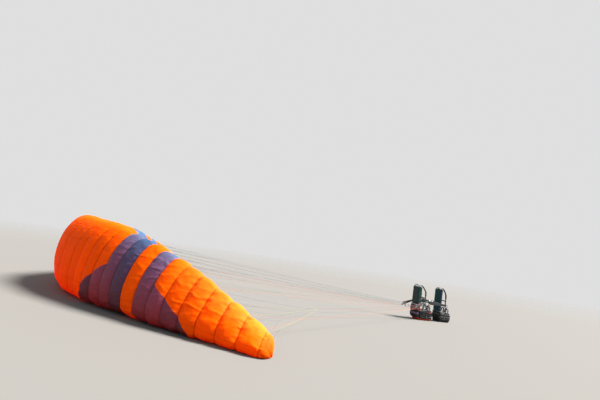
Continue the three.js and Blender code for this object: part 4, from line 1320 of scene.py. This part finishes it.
def inflate(obj, cap, pressure=4.0, frames=20):
    """Cloth simulation that swells the pad; no point moves further than cap."""
    start = coordinates(obj)
    cloth = obj.modifiers.new("Cloth", "CLOTH")
    settings = cloth.settings
    settings.quality = 4
    settings.use_pressure = True
    settings.uniform_pressure_force = pressure
    settings.tension_stiffness = settings.compression_stiffness = 25
    settings.bending_stiffness = 1.2
    settings.shrink_min = -0.02
    settings.effector_weights.gravity = 0
    cloth.collision_settings.use_collision = False
    cloth.point_cache.frame_start, cloth.point_cache.frame_end = 1, frames
    scene = bpy.context.scene
    for step in range(1, frames + 1):
        scene.frame_set(step)
    apply_modifiers(obj)
    scene.frame_set(1)
    moved = coordinates(obj) - start
    far = np.linalg.norm(moved, axis=1, keepdims=True)
    moved *= np.minimum(1, cap / np.maximum(far, 1e-9))
    set_coordinates(obj, start + moved)


def groove(obj, direction, place, depth, width, offset):
    """Sews a channel across a direction: points near it move inwards along their normals."""
    co = coordinates(obj)
    normals = np.zeros(len(co) * 3, np.float32)
    obj.data.vertex_normals.foreach_get("vector", normals)
    pull = depth * np.exp(-((np.abs(co[:, direction] - place) + offset) / width) ** 2)
    set_coordinates(obj, co - normals.reshape(-1, 3) * pull[:, None])


def flatten(obj, low):
    """Nothing reaches under the ground that the piece rests on."""
    co = coordinates(obj)
    co[:, 2] = np.maximum(co[:, 2], low)
    set_coordinates(obj, co)


def make_soft_part(h, x0, body, part):
    outline = [(x0 + x, z) for x, z in part["outline"]]
    obj = soft_block(f"{h['name']}_{part['part']}", outline, h["half"] - part["narrower"], part["corner"],
                     part["voxel"])
    inflate(obj, part["swell"])
    origin = (x0, 0, 0)
    for direction, places, *cut in part["grooves"]:
        for place in places:
            groove(obj, direction, origin[direction] + place, *cut)
    if "lowest" in part:
        flatten(obj, part["lowest"])
    rounder = obj.modifiers.new("Subdivision", "SUBSURF")
    rounder.levels = rounder.render_levels = 1
    apply_modifiers(obj)
    obj.data.materials.clear()
    obj.data.materials.append(FINISHES[part["finish"]])
    obj.data.polygons.foreach_set("use_smooth", [True] * len(obj.data.polygons))
    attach(obj, body)
    if "replaces" in part:
        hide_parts(f"{h['name']}_{part['replaces']}")
    return obj


def make_harness(h):
    body = f"{h['name']}_harness"
    x0 = HANG_X + h["hang"]
    soft = {part["part"]: make_soft_part(h, x0, body, part) for part in soft_parts(h)}
    make_trim(h, x0, body, soft)
    make_straps(h, x0, body)


def laid_on(path, obj, lift=0.001):
    """The path moved to just above the nearest places of a soft piece."""
    laid = []
    for point in path:
        found, place, normal, _ = obj.closest_point_on_mesh(Vector(point))
        laid.append(place + normal * lift if found else Vector(point))
    return np.array(laid)


STRAP_BESIDE = 0.0033          # from the seat's side to the middle of the hang strap
STRAP_KNEE, SEAT_KNEE = 0.045, 0.070   # where it starts to lean, and where it reaches the seat
PIPING_RADIUS = 0.0032
BELT_WIDE, BELT_THICK, BELT_LIFT = 0.036, 0.004, 0.006
BELT_LEVEL, BELT_END = 0.034, 0.088    # under the rear container's top
# width and thickness of straps
ZIP, HANDLE, LINING = (0.012, 0.003), (0.022, 0.003), (0.030, 0.003)
TAIL, CHEST = (0.024, 0.0025), (0.025, 0.003)
STRAP_WEB, SHOULDER_PAD, LEG_PAD = (0.038, 0.0035), (0.062, 0.011), (0.056, 0.007)
HANG_WEB, HANG_SEWN = (0.030, 0.0045), (0.0285, 0.0062)
RESERVE_GRIP = 0.0075


def hang_strap_y(h, z):
    """Side distance of the hang strap at a height between its carabiner and the seat."""
    high, low = HANG_Z - CARABINER_DROP - STRAP_KNEE, h["seat_top"] - SEAT_KNEE
    return float(np.interp(z, (low, high), (h["half"] + STRAP_BESIDE, RISER_HOLE[1])))


def make_trim(h, x0, body, soft):
    """Piping on the back's seams, belt, zips, carrying handle and reserve handle."""
    half, top = h["half"], h["top"]
    trim = Shape("piping")
    front, rear = x0 + h["back_front"] - 0.03, x0 + h["back_rear"] + 0.004
    for side in (-1, 1):
        path = [(rear, h["rear_top"] + 0.02), (rear, top - 0.08), (rear + 0.024, top - 0.008),
                (front - 0.01, top - 0.006), (front + 0.006, top - 0.06),
                (front + 0.006, h["rear_top"] + 0.01)]
        path = smooth_path([(x, side * (half - 0.021), z) for x, z in path], 0.012)
        trim.rope(laid_on(path, soft["back_shell"]), PIPING_RADIUS, 8)
    level, end_level = h["rear_top"] - BELT_LEVEL, h["rear_top"] - BELT_END
    around = [(x0 + h["back_front"] - 0.060, half, level), (rear - 0.010, half - 0.012, level),
              (rear - 0.022, half - 0.07, level)]
    around = smooth_path(around + [(x, -y, z) for x, y, z in around[::-1]], 0.012)
    around = laid_on(around, soft["rear_container"], BELT_LIFT)
    around[:, 2] = level
    end_y = hang_strap_y(h, end_level) - 0.003
    belt = smooth_path([(x0, end_y, end_level), *around[::3], (x0, -end_y, end_level)], 0.012)
    trim.sweep(belt, flat_section(BELT_WIDE, BELT_THICK), UPWARD, False, "pale_webbing")
    for side in (-1, 1):
        path = [(x0 + h["base_back"] + 0.03, 0.10), (x0, 0.075), (x0 + h["seat_front"] - 0.06, 0.12)]
        path = smooth_path([(x, side * (half - 0.003), z) for x, z in path], 0.01)
        path = laid_on(path, soft["seat_shell"], 0.002)
        trim.strap(path, *ZIP, UPWARD, 0, "zip_tape")
        trim.block(path[-1], (0.022, 0.008, 0.008), None, "polished_steel")
    handle = [(-0.05, -0.004), (-0.045, 0.018), (0, 0.026), (0.045, 0.018), (0.05, -0.004)]
    handle = [(rear + 0.02, y, top + z) for y, z in handle]
    trim.strap(handle, *HANDLE, FORWARD, 0.008, "harness_webbing")
    if h["reserve_handle"]:
        grip = [(-0.15, 0, -0.02), (-0.145, -0.012, -0.05), (-0.11, -0.014, -0.08),
                (-0.075, -0.012, -0.05), (-0.07, 0, -0.02)]
        corner = np.array([x0 + h["seat_front"], -half - 0.004, h["seat_top"]])
        trim.rope(smooth_path(corner + grip, 0.008), RESERVE_GRIP, 10, False, "red_webbing")
    trim.piece(f"{h['name']}_trim", body, "harness_webbing")


def ladder_buckle(shape, center, across, up, width, finish_name):
    """Three-bar adjuster on a strap."""
    ring = rounded_loop(center, across, up, width / 2 + 0.006, 0.017, 0.006, 3)
    shape.rope(ring, 0.0028, 8, True, finish_name)
    for level in between(center, up, -0.0051, 0.0051):
        shape.rope(between(level, across, -width / 2, width / 2), 0.0024, 8, False, finish_name)


def shoulder_strap(h, front, x0):
    """Padded strap from the back's top to the seat, with its lining, adjuster and loose tail."""
    high, top = h["top"], h["seat_top"]
    path = [(x0 + h["back_rear"] + 0.030, high + 0.003), (x0 + h["back_front"] - 0.016, high + 0.003),
            (x0 + h["back_front"] + 0.040, high - 0.030), (front - 0.018, high - 0.170),
            (front, high - 0.300), (front, top + 0.260), (front - 0.045, top + 0.110),
            (front - 0.055, top + 0.050), (front - 0.055, top + 0.002)]
    points = [(x, SHOULDER_Y, z) for x, z in path]
    shape = Shape("harness_webbing")
    shape.strap(points[:5], *SHOULDER_PAD, SIDEWAYS, 0.015, "strap_pad_cloth")
    shape.strap(points[3:], *STRAP_WEB, SIDEWAYS, 0.012)
    lining = [(x + 0.006, y, z + 0.006) for x, y, z in points[1:3]]
    lining += [(x + 0.0075, y, z) for x, y, z in points[3:6]]
    shape.strap(lining, *LINING, SIDEWAYS, 0.015)
    ladder_buckle(shape, (front + 0.002, SHOULDER_Y, top + 0.30), SIDEWAYS, UPWARD, 0.040,
                  "polished_steel")
    tail = [(0.006, 0, 0.315), (0.016, 0, 0.27), (0.020, 0.004, 0.19), (0.018, 0.006, 0.13)]
    shape.strap(np.array([front, SHOULDER_Y, top]) + tail, *TAIL, SIDEWAYS, 0.012)
    return shape


def leg_strap(h, x0):
    """Padded arch over the seat, with its buckle."""
    shape = Shape("harness_webbing")
    arch = [(0.024, 0), (0.024, 0.050), (0.038, 0.100), (0.070, 0.140),
            (0.112, 0.140), (0.144, 0.100), (0.158, 0.050), (0.158, 0)]
    arch = [(x0 + h["seat_front"] - 0.095, y, h["seat_top"] + 0.001 + z) for y, z in arch]
    shape.strap(arch, *STRAP_WEB, FORWARD, 0.012)
    path = smooth_path(arch, 0.012)
    start, end, buckle, ahead = (int(len(path) * share) for share in (0.28, 0.72, 0.80, 0.84))
    shape.strap(path[start:end] - (0, 0, 0.0045), *LEG_PAD, FORWARD, 0, "strap_pad_cloth")
    turn = Vector(unit(path[ahead] - path[buckle])).to_track_quat("Z", "Y").to_matrix()
    shape.block(path[buckle] + (0, 0.004, 0), (0.036, 0.014, 0.052), turn, "black_plastic")
    return shape


def hang_strap(h, x0):
    """Webbing from the carabiner down the seat's side, sewn at both ends."""
    shape = Shape("harness_webbing")
    y, beside, bottom = RISER_HOLE[1], h["half"] + STRAP_BESIDE, HANG_Z - CARABINER_DROP
    path = [(x0, y, bottom + 0.010), (x0, y, bottom - STRAP_KNEE), (x0, beside, h["seat_top"] - SEAT_KNEE),
            (x0, beside, 0.090)]
    shape.strap(path, *HANG_WEB, FORWARD, 0.014)
    shape.rope(between((x0, y, bottom), FORWARD, -0.016, 0.016), 0.009, 14)
    for sewn, half_long in (((x0, y, bottom - 0.030), 0.015), ((x0, beside, 0.115), 0.0175)):
        path = between(sewn, UPWARD, -half_long, half_long)
        shape.strap(path, *HANG_SEWN, FORWARD, 0.01, "stitched_webbing")
    return shape


def chest_strap(h, front):
    """Strap between the shoulder straps, with its buckle and two adjusters."""
    shape = Shape("harness_webbing")
    x, z = front + 0.0055, h["seat_top"] + 0.345
    reach = SHOULDER_Y + 0.02
    shape.strap([(x, -reach, z), (x + 0.004, 0, z), (x, reach, z)], *CHEST, UPWARD, 0.012)
    shape.block((x + 0.006, -0.012, z), (0.012, 0.036, 0.036), None, "black_plastic")
    shape.block((x + 0.006, 0.020, z), (0.010, 0.024, 0.030), None, "black_plastic")
    for side in (-1, 1):
        ladder_buckle(shape, (x + 0.002, side * 0.07, z), UPWARD, SIDEWAYS, 0.026, "black_plastic")
    return shape


def make_straps(h, x0, body):
    name, front = h["name"], x0 + h["back_front"] + h["strap_out"]
    straps = {"shoulder_strap": shoulder_strap(h, front, x0), "leg_strap": leg_strap(h, x0),
              "hang_strap": hang_strap(h, x0)}
    for part, shape in straps.items():
        shape.pair(f"{name}_{part}_set", body, "harness_webbing", f"{name}_{part}")
    clip = Shape("polished_steel")
    carabiner(clip, (x0, RISER_HOLE[1], HANG_Z - CARABINER_DROP / 2), UPWARD, SIDEWAYS,
              CARABINER_DROP / 2, CARABINER_HALF, CARABINER_BAR)
    clip.pair(f"{name}_carabiner_set", body, "carabiner", f"{name}_carabiner", 35)
    chest_strap(h, front).piece(f"{name}_chest_strap_set", body, "harness_webbing", (f"{name}_chest_strap",))


# Stage
FLOOR_RADIUS, FADE_FROM, FADE_TO = 60.0, 14.0, 42.0
SUN = {"energy": 18.0, "angle": 20.0, "right": 0.60, "ahead": 0.10, "up": 0.78}
SUN_COLOUR, SKY_COLOUR = (1.0, 0.95, 0.88), (0.93, 0.97, 1.0)
SKY_LIGHT, SKY_SEEN = 0.8, 0.74
FLOOR_COLOUR = (0.125, 0.123, 0.120)


def make_stage():
    rings, around = 24, 72
    points = [(0, 0, 0)]
    for i in range(1, rings + 1):
        radius = FLOOR_RADIUS * i / rings
        turns = [2 * math.pi * j / around for j in range(around)]
        points += [(radius * math.cos(a), radius * math.sin(a), 0) for a in turns]
    faces = [(0, 1 + j, 1 + (j + 1) % around) for j in range(around)]
    for i in range(rings - 1):
        for j in range(around):
            k = (j + 1) % around
            a = 1 + i * around
            faces.append((a + j, a + around + j, a + around + k, a + k))
    mesh = bpy.data.meshes.new("floor")
    mesh.from_pydata(points, [], faces)
    made, wire = new_material("pale_floor")
    place = own_place(wire)
    far = wire.node("VectorMath", {"operation": "LENGTH"}, {0: place}, "Value")
    base = wire.noise(place, 30, 4).mix(FLOOR_COLOUR, toned(FLOOR_COLOUR, 0.96))
    values = {"Base Color": base, "Roughness": 0.9, "Specular IOR Level": 0.1}
    fade = far.above((FADE_FROM + FADE_TO) / 2, FADE_TO - FADE_FROM)
    seen, clear = wire.node("BsdfPrincipled", None, values), wire.node("BsdfTransparent")
    show(wire, mixed_shaders(wire, fade, seen, clear))
    mesh.materials.append(made)
    add_object("floor", mesh)


def make_light():
    ahead, side = camera_directions()
    towards = side * SUN["right"] + ahead * SUN["ahead"] + Vector((0, 0, SUN["up"]))
    data = bpy.data.lights.new("Key", "SUN")
    data.energy, data.angle, data.color = SUN["energy"], math.radians(SUN["angle"]), SUN_COLOUR
    add_object("Key", data).rotation_euler = towards.to_track_quat("Z", "Y").to_euler()
    world = bpy.data.worlds.new("Studio")
    world.use_nodes = True
    world.node_tree.nodes.clear()
    wire = Wire(world.node_tree)
    light = wire.node("Background", None, {"Color": (*SKY_COLOUR, 1), "Strength": SKY_LIGHT})
    seen = wire.node("Background", None, {"Color": (1, 1, 1, 1), "Strength": SKY_SEEN})
    show_direct = mixed_shaders(wire, wire.node("LightPath"), light, seen)
    wire.node("OutputWorld", None, {0: show_direct})
    bpy.context.scene.world = world
    view = bpy.context.scene.view_settings
    view.view_transform, view.look, view.exposure = "Standard", "None", 0.0


make_camera()
make_stage()
make_light()
canopy = Canopy()
make_canopy(canopy)
make_ribs(canopy)
make_lines(canopy)
make_risers()
make_pulleys()
make_toggles()
make_metalwork()
for harness in HARNESSES:
    make_harness(harness)
